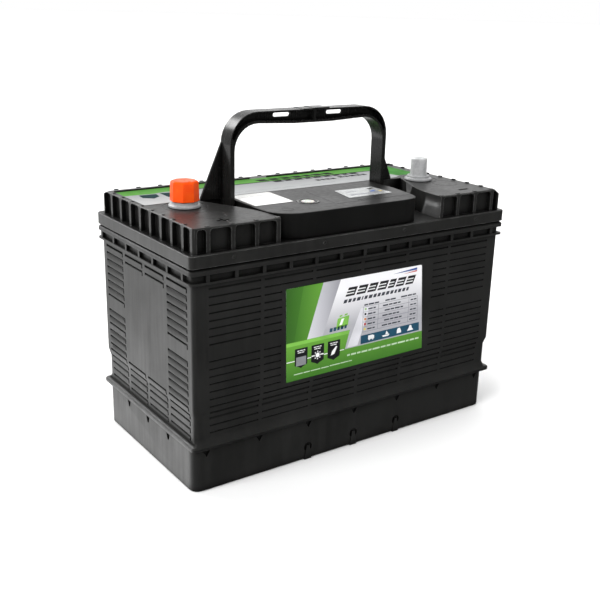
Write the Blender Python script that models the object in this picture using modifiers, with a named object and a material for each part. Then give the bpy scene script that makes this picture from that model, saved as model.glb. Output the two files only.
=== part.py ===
"""Deep cycle battery in a moulded case. Metres, +Z up, labelled long side facing -Y, base at Z = 0."""

import math

import bmesh
import bpy
from mathutils import Matrix, Vector

MM = 0.001  # every dimension below is in millimetres

# Case
LENGTH, WIDTH = 330.0, 173.0
CASE_TOP = 188.9
CELL_COUNT = 6
CELL_FLOOR, CELL_TOP = 4.0, 184.0
CELL_HALF_LENGTH, CELL_HALF_WIDTH = 156.8, 77.9
PARTITION = 2.4
WEB_PITCH, WEB_WIDTH = 25.0, 3.0

# Lid
LID_BOTTOM, LID_FLANGE_TOP, DECK = 189.2, 200.0, 220.0
BLOCK_LEFT, BLOCK_RIGHT, BLOCK_FRONT, BLOCK_REAR = -161.5, 158.8, -84.3, 82.0
DECK_RIGHT = 152.0
POCKET_DEPTH, POCKET_TOP, END_POCKET_TOP, LOW_POCKET_TOP = 4.0, 218.6, 219.2, 214.0
BAY_REAR = 0.3
COVER_TOP, COVER_WALL, FIT_GAP = 221.0, 2.0, 0.4
CHAMBER_FLOOR, BLOCK_TOP = 209.6, 218.6

# Handle
HANDLE_MIDDLE, HANDLE_HALF, STRAP, STRAP_DEPTH = -7.85, 82.3, 4.0, 16.0
HINGE_Y, HINGE_Z, TRUNNION = -9.5, 208.5, 3.5
HANDLE_TOP, OUTER_BEND, INNER_BEND, INNER_BEND_Z = 292.6, 26.0, 22.0, 261.0
GRIP_SAG = 1.7
GUSSET_HALF, GUSSET_BOTTOM, GUSSET_TOP, GUSSET_THICK = 102.4, 221.0, 268.0, 2.2
WEB_THICK, MIDDLE_RIB, RIB_OFFSET = 2.5, 1.5, 1.5
PADS = ((-10.0, 2.0, 0.4), (1.0, 17.0, 0.85))  # left end, right end and height on top of the grip
SLOTS, SLOT_LONG, SLOT_HIGH, SLOT_Z = (-28.4, 27.0), 17.8, 3.4, 288.3

# Terminals
POSITIVE = (-131.0, -14.5)
NEGATIVE = (120.0, -14.5)
STEPS = 32
CLEAR = 0.3  # gap between pieces that touch

# Plates, relative to the middle of a cell
CELL_PITCH = (2 * CELL_HALF_LENGTH + PARTITION) / CELL_COUNT
PLATE_THICK, PLATE_PITCH, SEPARATOR_THICK = 3.0, 10.0, 1.4
PLATE_HALF, PLATE_BOTTOM, PLATE_TOP = 71.0, 8.0, 160.0
LUG_INNER, LUG_OUTER, STRAP_LOW, STRAP_HIGH = 39.0, 57.0, 168.0, 174.0
LUG_MIDDLE = (LUG_INNER + LUG_OUTER) / 2
LINK_Z, LINK_RADIUS, LINK_STEPS = 177.0, 5.0, 20


def collection(name):
    made = bpy.data.collections.new(name)
    bpy.context.scene.collection.children.link(made)
    return made


def scaled(point):
    return [value * MM for value in point]


def add_mesh(name, bm, home):
    """Puts a finished bmesh into the collection as a closed, outward mesh object."""
    bmesh.ops.recalc_face_normals(bm, faces=bm.faces)
    mesh = bpy.data.meshes.new(name)
    bm.to_mesh(mesh)
    bm.free()
    obj = bpy.data.objects.new(name, mesh)
    home.objects.link(obj)
    if home == CUTTERS:
        obj.hide_render = True
        obj.display_type = "WIRE"
    return obj


def loft(name, home, rings):
    """Skins a row of unlike rings of 3-D points and caps both ends."""
    bm = bmesh.new()
    rows = [[bm.verts.new(scaled(point)) for point in ring] for ring in rings]
    bm.faces.new(rows[0][::-1])
    bm.faces.new(rows[-1])
    for low, high in zip(rows, rows[1:]):
        for i in range(len(low)):
            j = (i + 1) % len(low)
            bm.faces.new((low[i], low[j], high[j], high[i]))
    return add_mesh(name, bm, home)


TURNS = {
    "Z": Matrix(),
    "Y": Matrix.Rotation(math.radians(90), 4, "X"),
    "X": Matrix(((0, 0, 1, 0), (1, 0, 0, 0), (0, 1, 0, 0), (0, 0, 0, 1))),
}


def along(axis, low, high, centre=(0.0, 0.0)):
    """Stands a shape's own Z along an axis, half way from low to high and round a centre."""
    shift = Vector()
    shift["XYZ".index(axis)] = (low + high) / 2 * MM
    return Matrix.Translation(shift) @ TURNS[axis] @ Matrix.Translation(scaled((*centre, 0.0)))


def add_prism(bm, outline, low, high, axis="Z"):
    """Adds a filled 2-D curve, extruded along an axis: (x, y) along Z, (x, z) along Y, (y, z) along X."""
    curve = bpy.data.curves.new("outline", "CURVE")
    curve.dimensions = "2D"
    curve.fill_mode = "BOTH"
    curve.extrude = (high - low) / 2 * MM
    spline = curve.splines.new("POLY")
    spline.points.add(len(outline) - 1)
    for point, pair in zip(spline.points, outline):
        point.co = (*scaled(pair), 0.0, 1.0)
    spline.use_cyclic_u = True
    shape = bpy.data.objects.new("outline", curve)
    CUTTERS.objects.link(shape)
    shape.matrix_world = along(axis, low, high)
    ready = shape.evaluated_get(bpy.context.evaluated_depsgraph_get())
    mesh = bpy.data.meshes.new_from_object(ready)
    mesh.transform(shape.matrix_world)
    bpy.data.objects.remove(shape)
    bm.from_mesh(mesh)
    bpy.data.meshes.remove(mesh)
    bmesh.ops.remove_doubles(bm, verts=bm.verts, dist=0.000001)


def add_box(bm, x0, x1, y0, y1, z0, z1):
    middle = Vector((x0 + x1, y0 + y1, z0 + z1)) * (MM / 2)
    size = Vector((x1 - x0, y1 - y0, z1 - z0)) * MM
    place = Matrix.Translation(middle) @ Matrix.Diagonal((*size, 1.0))
    bmesh.ops.create_cube(bm, size=1.0, matrix=place)


def add_round(bm, centre, radius, low, high, axis="Z", steps=STEPS, end_radius=None):
    """Adds a cylinder, or a cone with an end radius, from low to high along an axis."""
    bmesh.ops.create_cone(
        bm,
        cap_ends=True,
        segments=steps,
        radius1=radius * MM,
        radius2=(end_radius or radius) * MM,
        depth=(high - low) * MM,
        matrix=along(axis, low, high, centre),
    )


def prism(name, home, outline, low, high, axis="Z"):
    bm = bmesh.new()
    add_prism(bm, outline, low, high, axis)
    return add_mesh(name, bm, home)


def boxes(name, home, spans):
    bm = bmesh.new()
    for span in spans:
        add_box(bm, *span)
    return add_mesh(name, bm, home)


def turned(name, centre, profile, steps=STEPS, turn=0.0, closed=False):
    """Sweeps a profile of (radius, height), given from the top down, round an upright axis."""
    mesh = bpy.data.meshes.new(name)
    count = len(profile)
    edges = [(i, (i + 1) % count) for i in range(count if closed else count - 1)]
    mesh.from_pydata([scaled((radius, 0.0, height)) for radius, height in profile], edges, [])
    obj = bpy.data.objects.new(name, mesh)
    obj.location = scaled((*centre, 0.0))
    obj.rotation_euler.z = math.radians(turn)
    PARTS.objects.link(obj)
    sweep = obj.modifiers.new("sweep", "SCREW")
    sweep.steps = sweep.render_steps = steps
    sweep.use_merge_vertices = not closed
    sweep.merge_threshold = 0.00001
    sweep.use_smooth_shade = False
    return obj


def boolean(body, other, operation):
    modifier = body.modifiers.new(other.name, "BOOLEAN")
    modifier.operation = operation
    modifier.solver = "EXACT"
    modifier.object = other


def cut(body, other):
    boolean(body, other, "DIFFERENCE")


def join(body, other):
    boolean(body, other, "UNION")


def rounded(x0, x1, y0, y1, radii, steps=4):
    """Anticlockwise outline of a box; radii are rear right, rear left, front left, front right."""
    points = []
    places = ((x1, y1, -1, -1, 0), (x0, y1, 1, -1, 90), (x0, y0, 1, 1, 180), (x1, y0, -1, 1, 270))
    for (x, y, sx, sy, start), radius in zip(places, radii):
        for k in range(steps + 1):
            angle = math.radians(start + 90 * k / steps)
            across, along = radius * (sx + math.cos(angle)), radius * (sy + math.sin(angle))
            points.append((x + across, y + along))
    return points


def inset(outline, distance):
    """Moves each point of an anticlockwise outline inwards by the distance."""
    moved = []
    for i, point in enumerate(outline):
        here = Vector(point)
        towards = (here - Vector(outline[i - 1])).normalized()
        away = (Vector(outline[(i + 1) % len(outline)]) - here).normalized()
        mitre = Vector((-towards.y - away.y, towards.x + away.x))
        moved.append(tuple(here + mitre * distance / max(mitre.dot(Vector((-away.y, away.x))), 0.3)))
    return moved


def finish(obj, colour, roughness=0.5, metallic=0.0):
    """Gives a part its own Principled material."""
    made = bpy.data.materials.new(obj.name)
    made.use_nodes = True
    shader = made.node_tree.nodes["Principled BSDF"]
    shader.inputs["Base Color"].default_value = (*colour, 1.0)
    shader.inputs["Roughness"].default_value = roughness
    shader.inputs["Metallic"].default_value = metallic
    made.diffuse_color = (*colour, 1.0)
    obj.data.materials.append(made)


BLACK = (0.012, 0.012, 0.013)
LEAD = (0.42, 0.43, 0.44)


# ---------------------------------------------------------------- case


def cell_middle(index):
    return (index - (CELL_COUNT - 1) / 2) * CELL_PITCH


def section(height, half_length, half_width, radius):
    outline = rounded(-half_length, half_length, -half_width, half_width, [radius] * 4)
    return [(x, y, height) for x, y in outline]


def case_shell():
    """Open-topped case: moulded base, ledge, walls and a channelled rim, with six cells inside."""
    half_x, half_y = LENGTH / 2, WIDTH / 2
    sections = (
        # height, half length, half width, corner radius
        (0.0, 160.9, 79.7, 6.5),
        (1.5, 162.4, 81.2, 8.0),
        (37.0, 162.4, 81.2, 8.0),
        (39.6, half_x, half_y, 4.0),
        (42.2, half_x, half_y, 4.0),
        (42.8, 164.5, 86.0, 4.0),
        (43.3, 160.6, 85.3, 4.0),
        (47.4, 160.6, 81.6, 4.0),
        (66.0, 160.6, 81.6, 4.0),
        (73.0, 162.1, 83.6, 4.0),
        (175.6, 162.1, 83.6, 4.0),
        (176.6, half_x, half_y, 4.0),
        (178.2, half_x, half_y, 4.0),
        (178.5, 162.0, 83.5, 3.5),
        (183.9, 162.0, 83.5, 3.5),
        (184.2, half_x, half_y, 4.0),
        (187.2, half_x, half_y, 4.0),
        (187.7, half_x - 0.5, half_y - 0.5, 3.8),
        (CASE_TOP, half_x - 2.2, half_y - 2.2, 3.0),
    )
    return loft("case", PARTS, [section(*values) for values in sections])


def rim_webs():
    """Short upright webs that bridge the channel under the rim on all four sides."""
    half_x, half_y = LENGTH / 2 - 0.4, WIDTH / 2 - 0.4
    low, high, buried, end_shift = 177.4, 185.0, 4.0, 3.0
    spans = []
    for k in range(-6, 7):
        x0, x1 = k * WEB_PITCH - WEB_WIDTH / 2, k * WEB_PITCH + WEB_WIDTH / 2
        spans.append((x0, x1, -half_y, -half_y + buried, low, high))
        spans.append((x0, x1, half_y - buried, half_y, low, high))
    for k in range(-3, 4):
        y0 = k * WEB_PITCH + end_shift - WEB_WIDTH / 2
        y1 = y0 + WEB_WIDTH
        spans.append((-half_x, -half_x + buried, y0, y1, low, high))
        spans.append((half_x - buried, half_x, y0, y1, low, high))
    return boxes("case_webs", CUTTERS, spans)


def cell_cavities():
    half = (CELL_PITCH - PARTITION) / 2
    bm = bmesh.new()
    for index in range(CELL_COUNT):
        middle = cell_middle(index)
        outline = rounded(
            middle - half, middle + half, -CELL_HALF_WIDTH, CELL_HALF_WIDTH, [2.5] * 4, steps=2
        )
        add_prism(bm, outline, CELL_FLOOR, CELL_TOP + 1.0)
    return add_mesh("case_cells", bm, CUTTERS)


def link_side(index):
    """Side of the case, +1 rear or -1 front, on which a partition is bridged."""
    return 1 if index % 2 == 0 else -1


def build_case():
    case = case_shell()
    join(case, rim_webs())
    cut(case, cell_cavities())
    mouth = rounded(
        -CELL_HALF_LENGTH, CELL_HALF_LENGTH, -CELL_HALF_WIDTH, CELL_HALF_WIDTH, [2.5] * 4, steps=2
    )
    cut(case, prism("case_mouth", CUTTERS, mouth, CELL_TOP, CASE_TOP + 5.0))
    bm = bmesh.new()
    for index in range(CELL_COUNT - 1):
        middle = cell_middle(index) + CELL_PITCH / 2
        centre = (link_side(index) * LUG_MIDDLE, LINK_Z)
        add_round(bm, centre, LINK_RADIUS + CLEAR, middle - PARTITION, middle + PARTITION, "X", LINK_STEPS)
    cut(case, add_mesh("case_link_holes", bm, CUTTERS))
    finish(case, BLACK, 0.45)


# ---------------------------------------------------------------- lid

# Inner edge of each platform, from the front corner back, as (distance from the middle, y)
PLATFORM_EDGE = (
    (84.6, -84.3),
    (84.6, -72.0),
    (85.5, -64.0),
    (86.9, -56.0),
    (89.8, -46.0),
    (92.8, -38.0),
    (96.2, -30.0),
    (101.2, -20.0),
    (106.0, -10.0),
    (110.8, BAY_REAR),
)
COVER_OUTLINE = (
    (69.9, -0.6),
    (-84.3, -0.6),
    (-84.5, -50.0),
    (-84.5, -64.0),
    (-83.2, -70.2),
    (-79.5, -75.8),
    (-73.2, -80.2),
    (-64.5, -82.9),
    (-52.0, -83.5),
    (44.0, -83.5),
    (52.0, -82.4),
    (57.6, -80.0),
    (61.6, -76.0),
    (63.9, -71.0),
    (65.4, -64.5),
    (66.6, -57.0),
    (68.2, -48.0),
    (69.4, -39.0),
    (69.9, -30.0),
)
RIB_WIDTH = 3.2
LIP_SPANS, LIP_Y = ((-158.0, -22.0), (-3.0, 150.0)), (62.2, 63.6)
END_RIBS = (-68.0, -50.0, -32.0, -13.5, 5.0, 23.5, 42.0, 60.5)
FRONT_RIBS = (86.5, 106.0, 127.2, 148.6)
REAR_RIBS = [k * 21.2 for k in range(-7, 8)]


def lid_body():
    """Flange and raised block; the block's right edge is bevelled and its rear edge slopes down."""
    half_x, half_y = LENGTH / 2, WIDTH / 2
    flange = (
        (LID_BOTTOM, half_x - 1.8, half_y - 1.8, 3.0),
        (189.9, half_x, half_y, 4.0),
        (199.3, half_x, half_y, 4.0),
        (LID_FLANGE_TOP, half_x - 0.7, half_y - 0.7, 3.5),
    )
    lid = loft("lid", PARTS, [section(*values) for values in flange])
    levels = (
        # height, right edge, rear edge, set back of the front and left edges
        (LID_FLANGE_TOP - 2.0, BLOCK_RIGHT, BLOCK_REAR, 0.0),
        (215.4, BLOCK_RIGHT, BLOCK_REAR, 0.0),
        (217.2, 156.2, BLOCK_REAR - 0.6, 0.0),
        (219.6, 152.8, 74.0, 0.0),
        (DECK, DECK_RIGHT, 72.6, 0.4),
    )
    corners = [4.0, 6.0, 1.5, 2.0]
    rings = []
    for height, right, rear, back in levels:
        outline = rounded(BLOCK_LEFT + back, right, BLOCK_FRONT + back, rear, corners)
        rings.append([(x, y, height) for x, y in outline])
    join(lid, loft("lid_block", CUTTERS, rings))
    return lid


def bay_outline():
    left = [(-x, y) for x, y in reversed(PLATFORM_EDGE)]
    right = list(PLATFORM_EDGE)
    front = BLOCK_FRONT - 4.0
    return left + [(left[-1][0], front), (right[0][0], front)] + right


def pocket_outline(low, high, top):
    """Upright pocket between two ribs, with its top corners eased."""
    ease = min(2.2, (high - low) / 3)
    return [
        (low, LID_FLANGE_TOP),
        (high, LID_FLANGE_TOP),
        (high, top - ease),
        (high - 0.35 * ease, top - 0.3 * ease),
        (high - ease, top),
        (low + ease, top),
        (low + 0.35 * ease, top - 0.3 * ease),
        (low, top - ease),
    ]


def gaps_between(ribs, first, last):
    """Spans between neighbouring ribs, from a corner post to a corner post."""
    half = RIB_WIDTH / 2
    starts = [first] + [rib + half for rib in ribs]
    ends = [rib - half for rib in ribs] + [last]
    return [(low, high) for low, high in zip(starts, ends) if high - low > 3.0]


def add_pockets(lid):
    """Rows of upright pockets that leave the ribs standing on all four sides of the block."""
    left_ribs = [-rib for rib in reversed(FRONT_RIBS)]
    front = gaps_between(FRONT_RIBS, FRONT_RIBS[0], BLOCK_RIGHT - 3.4)
    front += gaps_between(left_ribs, BLOCK_LEFT + 3.4, left_ribs[-1])
    rear = gaps_between(REAR_RIBS, BLOCK_LEFT + 7.0, BLOCK_RIGHT - 7.0)
    ends = gaps_between(END_RIBS, BLOCK_FRONT + 4.6, BLOCK_REAR - 6.4)
    reach = 3.0
    rows = (
        (front, POCKET_TOP, BLOCK_FRONT - reach, BLOCK_FRONT + POCKET_DEPTH, "Y"),
        (rear, LOW_POCKET_TOP, BLOCK_REAR - POCKET_DEPTH, BLOCK_REAR + reach, "Y"),
        (ends, END_POCKET_TOP, BLOCK_LEFT - reach, BLOCK_LEFT + POCKET_DEPTH, "X"),
        (ends, LOW_POCKET_TOP, BLOCK_RIGHT - POCKET_DEPTH, BLOCK_RIGHT + reach, "X"),
    )
    bm = bmesh.new()
    for gaps, top, near, far, axis in rows:
        for low, high in gaps:
            add_prism(bm, pocket_outline(low, high, top), near, far, axis)
    cut(lid, add_mesh("lid_pockets", bm, CUTTERS))


def add_rib_tips(lid):
    """Small raised tips where the ribs meet the top edges, and a low lip along the rear of the deck."""
    back, long, half = 0.6, 2.6, RIB_WIDTH / 2
    low, high, end_high = DECK - 1.0, DECK + 0.6, DECK + 1.1
    spans = []
    for rib in FRONT_RIBS:
        for x in (rib, -rib):
            spans.append((x - half, x + half, BLOCK_FRONT + back, BLOCK_FRONT + back + long, low, high))
    for rib in END_RIBS:
        near, far = rib - half, rib + half
        spans.append((BLOCK_LEFT + back, BLOCK_LEFT + back + long, near, far, low, high))
        spans.append((DECK_RIGHT - back - long, DECK_RIGHT - back, near, far, low, end_high))
    for rib in REAR_RIBS:
        spans.append((rib - half, rib + half, BLOCK_REAR - back - long, BLOCK_REAR - back, 216.0, 219.2))
    for left, right in LIP_SPANS:
        spans.append((left, right, *LIP_Y, low, DECK + 1.5))
    join(lid, boxes("lid_rib_tips", CUTTERS, spans))


def hollow_lid(lid):
    """Open underside, so that the lid is a shell of even thickness."""
    under = rounded(-160.6, 160.6, -82.1, 82.1, [2.5] * 4, steps=2)
    cut(lid, prism("lid_under", CUTTERS, under, LID_BOTTOM - 5.0, 196.6))
    wall = 3.4
    left = [(-x - wall, y) for x, y in PLATFORM_EDGE[2:-1]]
    right = [(x + wall, y) for x, y in PLATFORM_EDGE[2:-1]]
    side = POCKET_DEPTH + 2.6
    front, rear, deep = BLOCK_FRONT + side, BLOCK_REAR - side, BAY_REAR + wall
    near, far = BLOCK_LEFT + side, BLOCK_RIGHT - side
    corner = PLATFORM_EDGE[-1][0] + wall
    outline = [(near, front), (left[0][0], front)] + left + [(-corner, deep), (corner, deep)]
    outline += right[::-1] + [(right[0][0], front), (far, front), (far, rear), (near, rear)]
    cut(lid, prism("lid_hollow", CUTTERS, outline, 195.0, 213.4))
    middle = [(-74.0, -75.5), (56.0, -75.5), (56.0, 1.0), (-74.0, 1.0)]
    cut(lid, prism("lid_middle_hollow", CUTTERS, middle, 195.0, CHAMBER_FLOOR - 3.0))


def vent_wells():
    """Two rows of three vent seats in the chamber under the cover."""
    return [(HANDLE_MIDDLE + dx, y) for y in (-26.0, -58.0) for dx in (-42.0, 0.0, 42.0)]


def add_vent_block(lid):
    """Raised block that carries the vent seats and the handle sockets, closed by the cover."""
    outline = inset(COVER_OUTLINE, COVER_WALL + FIT_GAP)
    outline[0] = (outline[0][0], BAY_REAR + 2.0)
    outline[1] = (outline[1][0], BAY_REAR + 2.0)
    join(lid, prism("lid_vent_block", CUTTERS, outline, LID_FLANGE_TOP - 1.0, BLOCK_TOP))
    chamber = rounded(-73.0, 55.0, -75.0, -4.0, [4.0] * 4, steps=2)
    cut(lid, prism("lid_chamber", CUTTERS, chamber, CHAMBER_FLOOR, BLOCK_TOP + 3.0))


def add_sockets(bm):
    """Bores for the handle's trunnions, in the vent block and in the cover over it."""
    for low, high in ((-90.0, -78.4), (61.8, 75.0)):
        add_round(bm, (HINGE_Y, HINGE_Z), TRUNNION + 0.4, low, high, "X", steps=20)


def add_lid_holes(lid):
    bm = bmesh.new()
    for centre in vent_wells():
        add_round(bm, centre, 2.7, LID_FLANGE_TOP, CHAMBER_FLOOR + 2.0, steps=16)
    for centre in (POSITIVE, NEGATIVE):
        add_round(bm, centre, 10.6, LID_FLANGE_TOP + 5.0, DECK + 5.0)
    add_sockets(bm)
    cut(lid, add_mesh("lid_holes", bm, CUTTERS))


def build_lid():
    lid = lid_body()
    cut(lid, prism("lid_bay", CUTTERS, bay_outline(), LID_FLANGE_TOP, DECK + 8.0))
    add_vent_block(lid)
    hollow_lid(lid)
    add_lid_holes(lid)
    add_pockets(lid)
    add_rib_tips(lid)
    spans = []
    for index in range(CELL_COUNT - 1):
        x = cell_middle(index) + CELL_PITCH / 2
        spans.append((x - PARTITION / 2, x + PARTITION / 2, -77.4, 77.4, CELL_TOP + CLEAR, 197.6))
    join(lid, boxes("lid_partitions", CUTTERS, spans))
    finish(lid, BLACK, 0.42)


def build_cover():
    """Cap over the vent chamber: a flat top with a wall down to the flange on three sides."""
    low = LID_FLANGE_TOP + CLEAR
    levels = ((low, 0.0), (COVER_TOP - 0.7, 0.0), (COVER_TOP - 0.2, 0.25), (COVER_TOP, 0.8))
    rings = [[(x, y, height) for x, y in inset(COVER_OUTLINE, back)] for height, back in levels]
    cover = loft("vent_cover", PARTS, rings)
    inner = inset(COVER_OUTLINE, COVER_WALL)
    inner[0], inner[1] = (inner[0][0], 4.0), (inner[1][0], 4.0)
    cut(cover, prism("cover_inside", CUTTERS, inner, low - 3.0, COVER_TOP - COVER_WALL))
    bm = bmesh.new()
    add_sockets(bm)
    add_round(bm, DISC, DISC_RADIUS + CLEAR, COVER_TOP - 0.6, COVER_TOP + 2.0)
    cut(cover, add_mesh("cover_holes", bm, CUTTERS))
    finish(cover, BLACK, 0.4)


# ---------------------------------------------------------------- handle


def arc(cx, cz, radius, start, stop, steps):
    """Points on an arc in the XZ plane, angles in degrees from +X."""
    points = []
    for k in range(steps + 1):
        angle = math.radians(start + (stop - start) * k / steps)
        points.append((cx + radius * math.cos(angle), cz + radius * math.sin(angle)))
    return points


def at_handle(outline):
    return [(x + HANDLE_MIDDLE, z) for x, z in outline]


def handle_half(foot):
    """Right half of the hoop: over the top, down the outside, up the inside, and along the grip."""
    inner = HANDLE_HALF - STRAP
    outside = arc(HANDLE_HALF - OUTER_BEND, HANDLE_TOP - OUTER_BEND, OUTER_BEND, 90, 0, 8)
    inside = arc(inner - INNER_BEND, INNER_BEND_Z, INNER_BEND, 0, 90, 8)
    sag = INNER_BEND_Z + INNER_BEND - GRIP_SAG
    return outside + [(HANDLE_HALF, foot), (inner, foot)] + inside + [(20.0, sag)]


def handle_hoop():
    """Strap hoop with half-round feet about the hinge line."""
    half_depth = STRAP_DEPTH / 2
    rings = []
    for angle in (-90, -68, -45, -22, 0, 22, 45, 68, 90):
        across = half_depth * math.sin(math.radians(angle))
        foot = HINGE_Z - half_depth * math.cos(math.radians(angle))
        half = handle_half(foot)
        outline = at_handle(half + [(-x, z) for x, z in reversed(half)])
        rings.append([(x, HINGE_Y + across, z) for x, z in outline])
    return loft("handle", PARTS, rings)


def recess_outline(side):
    """Hollow in one face of the grip on one side of its middle rib."""
    thin, lip, rib = 1.0, 2.0, MIDDLE_RIB / 2 + side * RIB_OFFSET
    inner = HANDLE_HALF - STRAP
    top = HANDLE_TOP - thin
    under = INNER_BEND_Z + INNER_BEND - GRIP_SAG + lip
    outside = arc(HANDLE_HALF - OUTER_BEND, HANDLE_TOP - OUTER_BEND, OUTER_BEND - thin, 90, 12, 7)
    inside = arc(inner - INNER_BEND, INNER_BEND_Z, INNER_BEND + lip, 22, 90, 6)
    points = [(rib, top)] + outside + inside + [(20.0, under), (rib, under)]
    return at_handle([(side * x, z) for x, z in points])


def slot_outline(centre_x):
    """Rounded slot through the web of the grip."""
    radius = SLOT_HIGH / 2
    reach = SLOT_LONG / 2 - radius
    right, left = arc(reach, SLOT_Z, radius, -90, 90, 4), arc(-reach, SLOT_Z, radius, 90, 270, 4)
    return at_handle([(x + centre_x, z) for x, z in right + left])


def build_handle():
    handle = handle_hoop()
    half_depth, half_web = STRAP_DEPTH / 2, WEB_THICK / 2
    bm = bmesh.new()
    for side in (-1, 1):
        reach = HANDLE_HALF - 1.5
        outline = at_handle(
            [
                (side * reach, GUSSET_TOP - 3.0),
                (side * reach, GUSSET_BOTTOM),
                (side * GUSSET_HALF, GUSSET_BOTTOM),
                (side * GUSSET_HALF, GUSSET_BOTTOM + 1.6),
                (side * HANDLE_HALF, GUSSET_TOP),
            ]
        )
        back = HINGE_Y + half_depth - 0.1
        add_prism(bm, outline, back - GUSSET_THICK, back, "Y")
    join(handle, add_mesh("handle_gussets", bm, CUTTERS))
    bm = bmesh.new()
    for side in (-1, 1):
        ends = (side * (HANDLE_HALF - 1.0), side * (HANDLE_HALF - STRAP - 6.2))
        low, high = sorted(HANDLE_MIDDLE + end for end in ends)
        add_round(bm, (HINGE_Y, HINGE_Z), TRUNNION, low, high, "X", steps=24)
    join(handle, add_mesh("handle_trunnions", bm, CUTTERS))
    near, far = HINGE_Y - half_depth + 0.4, HINGE_Y + half_depth - 0.4
    for number, (left, right, high) in enumerate(PADS):
        span = (HANDLE_MIDDLE + left, HANDLE_MIDDLE + right, near, far, HANDLE_TOP - 0.6, HANDLE_TOP + high)
        join(handle, boxes(f"handle_pad_{number}", CUTTERS, [span]))
    bm = bmesh.new()
    for side in (-1, 1):
        outline = recess_outline(side)
        add_prism(bm, outline, HINGE_Y - half_depth - 2.0, HINGE_Y - half_web, "Y")
        add_prism(bm, outline, HINGE_Y + half_web, HINGE_Y + half_depth + 2.0, "Y")
    cut(handle, add_mesh("handle_recesses", bm, CUTTERS))
    bm = bmesh.new()
    for centre_x in SLOTS:
        add_prism(bm, slot_outline(centre_x), HINGE_Y - 5.0, HINGE_Y + 5.0, "Y")
    cut(handle, add_mesh("handle_slots", bm, CUTTERS))
    finish(handle, BLACK, 0.35)
    # The hoop's own origin sits on the hinge line.
    handle.data.transform(Matrix.Translation((0.0, -HINGE_Y * MM, -HINGE_Z * MM)))
    handle.location = (0.0, HINGE_Y * MM, HINGE_Z * MM)


# ---------------------------------------------------------------- terminals


def build_terminal(sign, centre, post, top_radius, top):
    """Lead bushing seated in the lid, and the post that rises through it from the cell below."""
    hole, seat = post + CLEAR, DECK + CLEAR
    ring = [
        (hole, 224.8),
        (10.0, 224.8),
        (10.6, 224.3),
        (10.9, 222.6),
        (12.4, 222.5),
        (13.0, 221.9),
        (13.0, seat),
        (10.2, seat),
        (10.2, 208.0),
        (hole, 208.0),
    ]
    bushing = turned(f"{sign}_bushing", centre, ring, steps=40, closed=True)
    finish(bushing, LEAD, 0.45, 1.0)
    foot = STRAP_HIGH + CLEAR
    profile = [
        (0.0, top),
        (top_radius - 0.8, top),
        (top_radius, top - 0.8),
        (post, 225.0),
        (post, 180.0),
        (11.0, 178.0),
        (11.0, foot),
        (0.0, foot),
    ]
    finish(turned(f"{sign}_post", centre, profile, steps=40), LEAD, 0.4, 1.0)


def build_cap():
    """Eight-sided push-on cap over the positive post, open underneath."""
    low, high = 225.3, 241.6
    profile = [(0.0, high), (9.8, high), (10.9, high - 0.7), (11.4, high - 1.9), (11.9, low), (0.0, low)]
    cap = turned("positive_cap", POSITIVE, profile, steps=8, turn=11.4)
    bm = bmesh.new()
    add_round(bm, POSITIVE, 9.2, low - 3.0, high - 1.7, steps=24, end_radius=9.0)
    cut(cap, add_mesh("cap_inside", bm, CUTTERS))
    finish(cap, (0.9, 0.12, 0.01), 0.35)


# ---------------------------------------------------------------- labels and small trim

DISC, DISC_RADIUS = (-34.0, -49.0), 10.0
FRONT_LABEL = ((-78.0, 160.5), (-76.0, 79.0), (74.5, 79.5), (67.5, 160.0))
DECK_LABEL = ((-157.5, 61.5), (-157.5, 4.0), (108.0, 4.0), (118.0, 10.5), (141.0, 10.5), (141.0, 61.5))
COVER_STICKER = ((-82.8, -44.6), (-45.0, -44.0), (-42.4, -4.0), (-44.0, -1.6), (-81.4, -1.8))
SEAL_STICKER = ((5.0, -55.5), (53.5, -54.5), (53.5, -25.5), (11.5, -25.0))


def build_trim():
    film, wall = 0.3, -83.7
    finish(prism("front_label", PARTS, FRONT_LABEL, wall - film, wall, "Y"), (0.2, 0.45, 0.12), 0.3)
    deck, cover = DECK + 0.1, COVER_TOP + 0.1
    finish(prism("deck_label", PARTS, DECK_LABEL, deck, deck + film), (0.6, 0.62, 0.62), 0.3)
    finish(prism("cover_sticker", PARTS, COVER_STICKER, cover, cover + film), (0.9, 0.9, 0.88), 0.4)
    finish(prism("seal_sticker", PARTS, SEAL_STICKER, cover, cover + film), (0.7, 0.72, 0.74), 0.25)
    low, edge, high = COVER_TOP - 0.5, COVER_TOP + 0.1, COVER_TOP + 0.4
    profile = [(0.0, high), (DISC_RADIUS - 0.5, high), (DISC_RADIUS, edge), (DISC_RADIUS, low), (0.0, low)]
    finish(turned("vent_disc", DISC, profile, steps=40), (0.8, 0.8, 0.78), 0.3)


# ---------------------------------------------------------------- inside


def build_vents():
    """Rubber relief valves: a round cap on a stem that plugs each vent seat."""
    stem, brim, foot, top = 2.4, 6.5, CHAMBER_FLOOR + CLEAR, CHAMBER_FLOOR + 5.8
    profile = [
        (0.0, top),
        (brim - 0.8, top),
        (brim, top - 0.8),
        (brim, foot),
        (stem, foot),
        (stem, CHAMBER_FLOOR - 2.6),
        (0.0, CHAMBER_FLOOR - 2.6),
    ]
    for number, centre in enumerate(vent_wells(), start=1):
        finish(turned(f"vent_valve_{number}", centre, profile, steps=20), (0.03, 0.03, 0.03), 0.8)


def plate_outline(side):
    """Plate seen along X, as (y, z), with its hanging lug on one side."""
    inner, outer = sorted((side * (LUG_INNER + 2.0), side * (LUG_OUTER - 2.0)))
    return [
        (-PLATE_HALF, PLATE_BOTTOM),
        (PLATE_HALF, PLATE_BOTTOM),
        (PLATE_HALF, PLATE_TOP),
        (outer, PLATE_TOP),
        (outer, STRAP_LOW + 2.0),
        (inner, STRAP_LOW + 2.0),
        (inner, PLATE_TOP),
        (-PLATE_HALF, PLATE_TOP),
    ]


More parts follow.
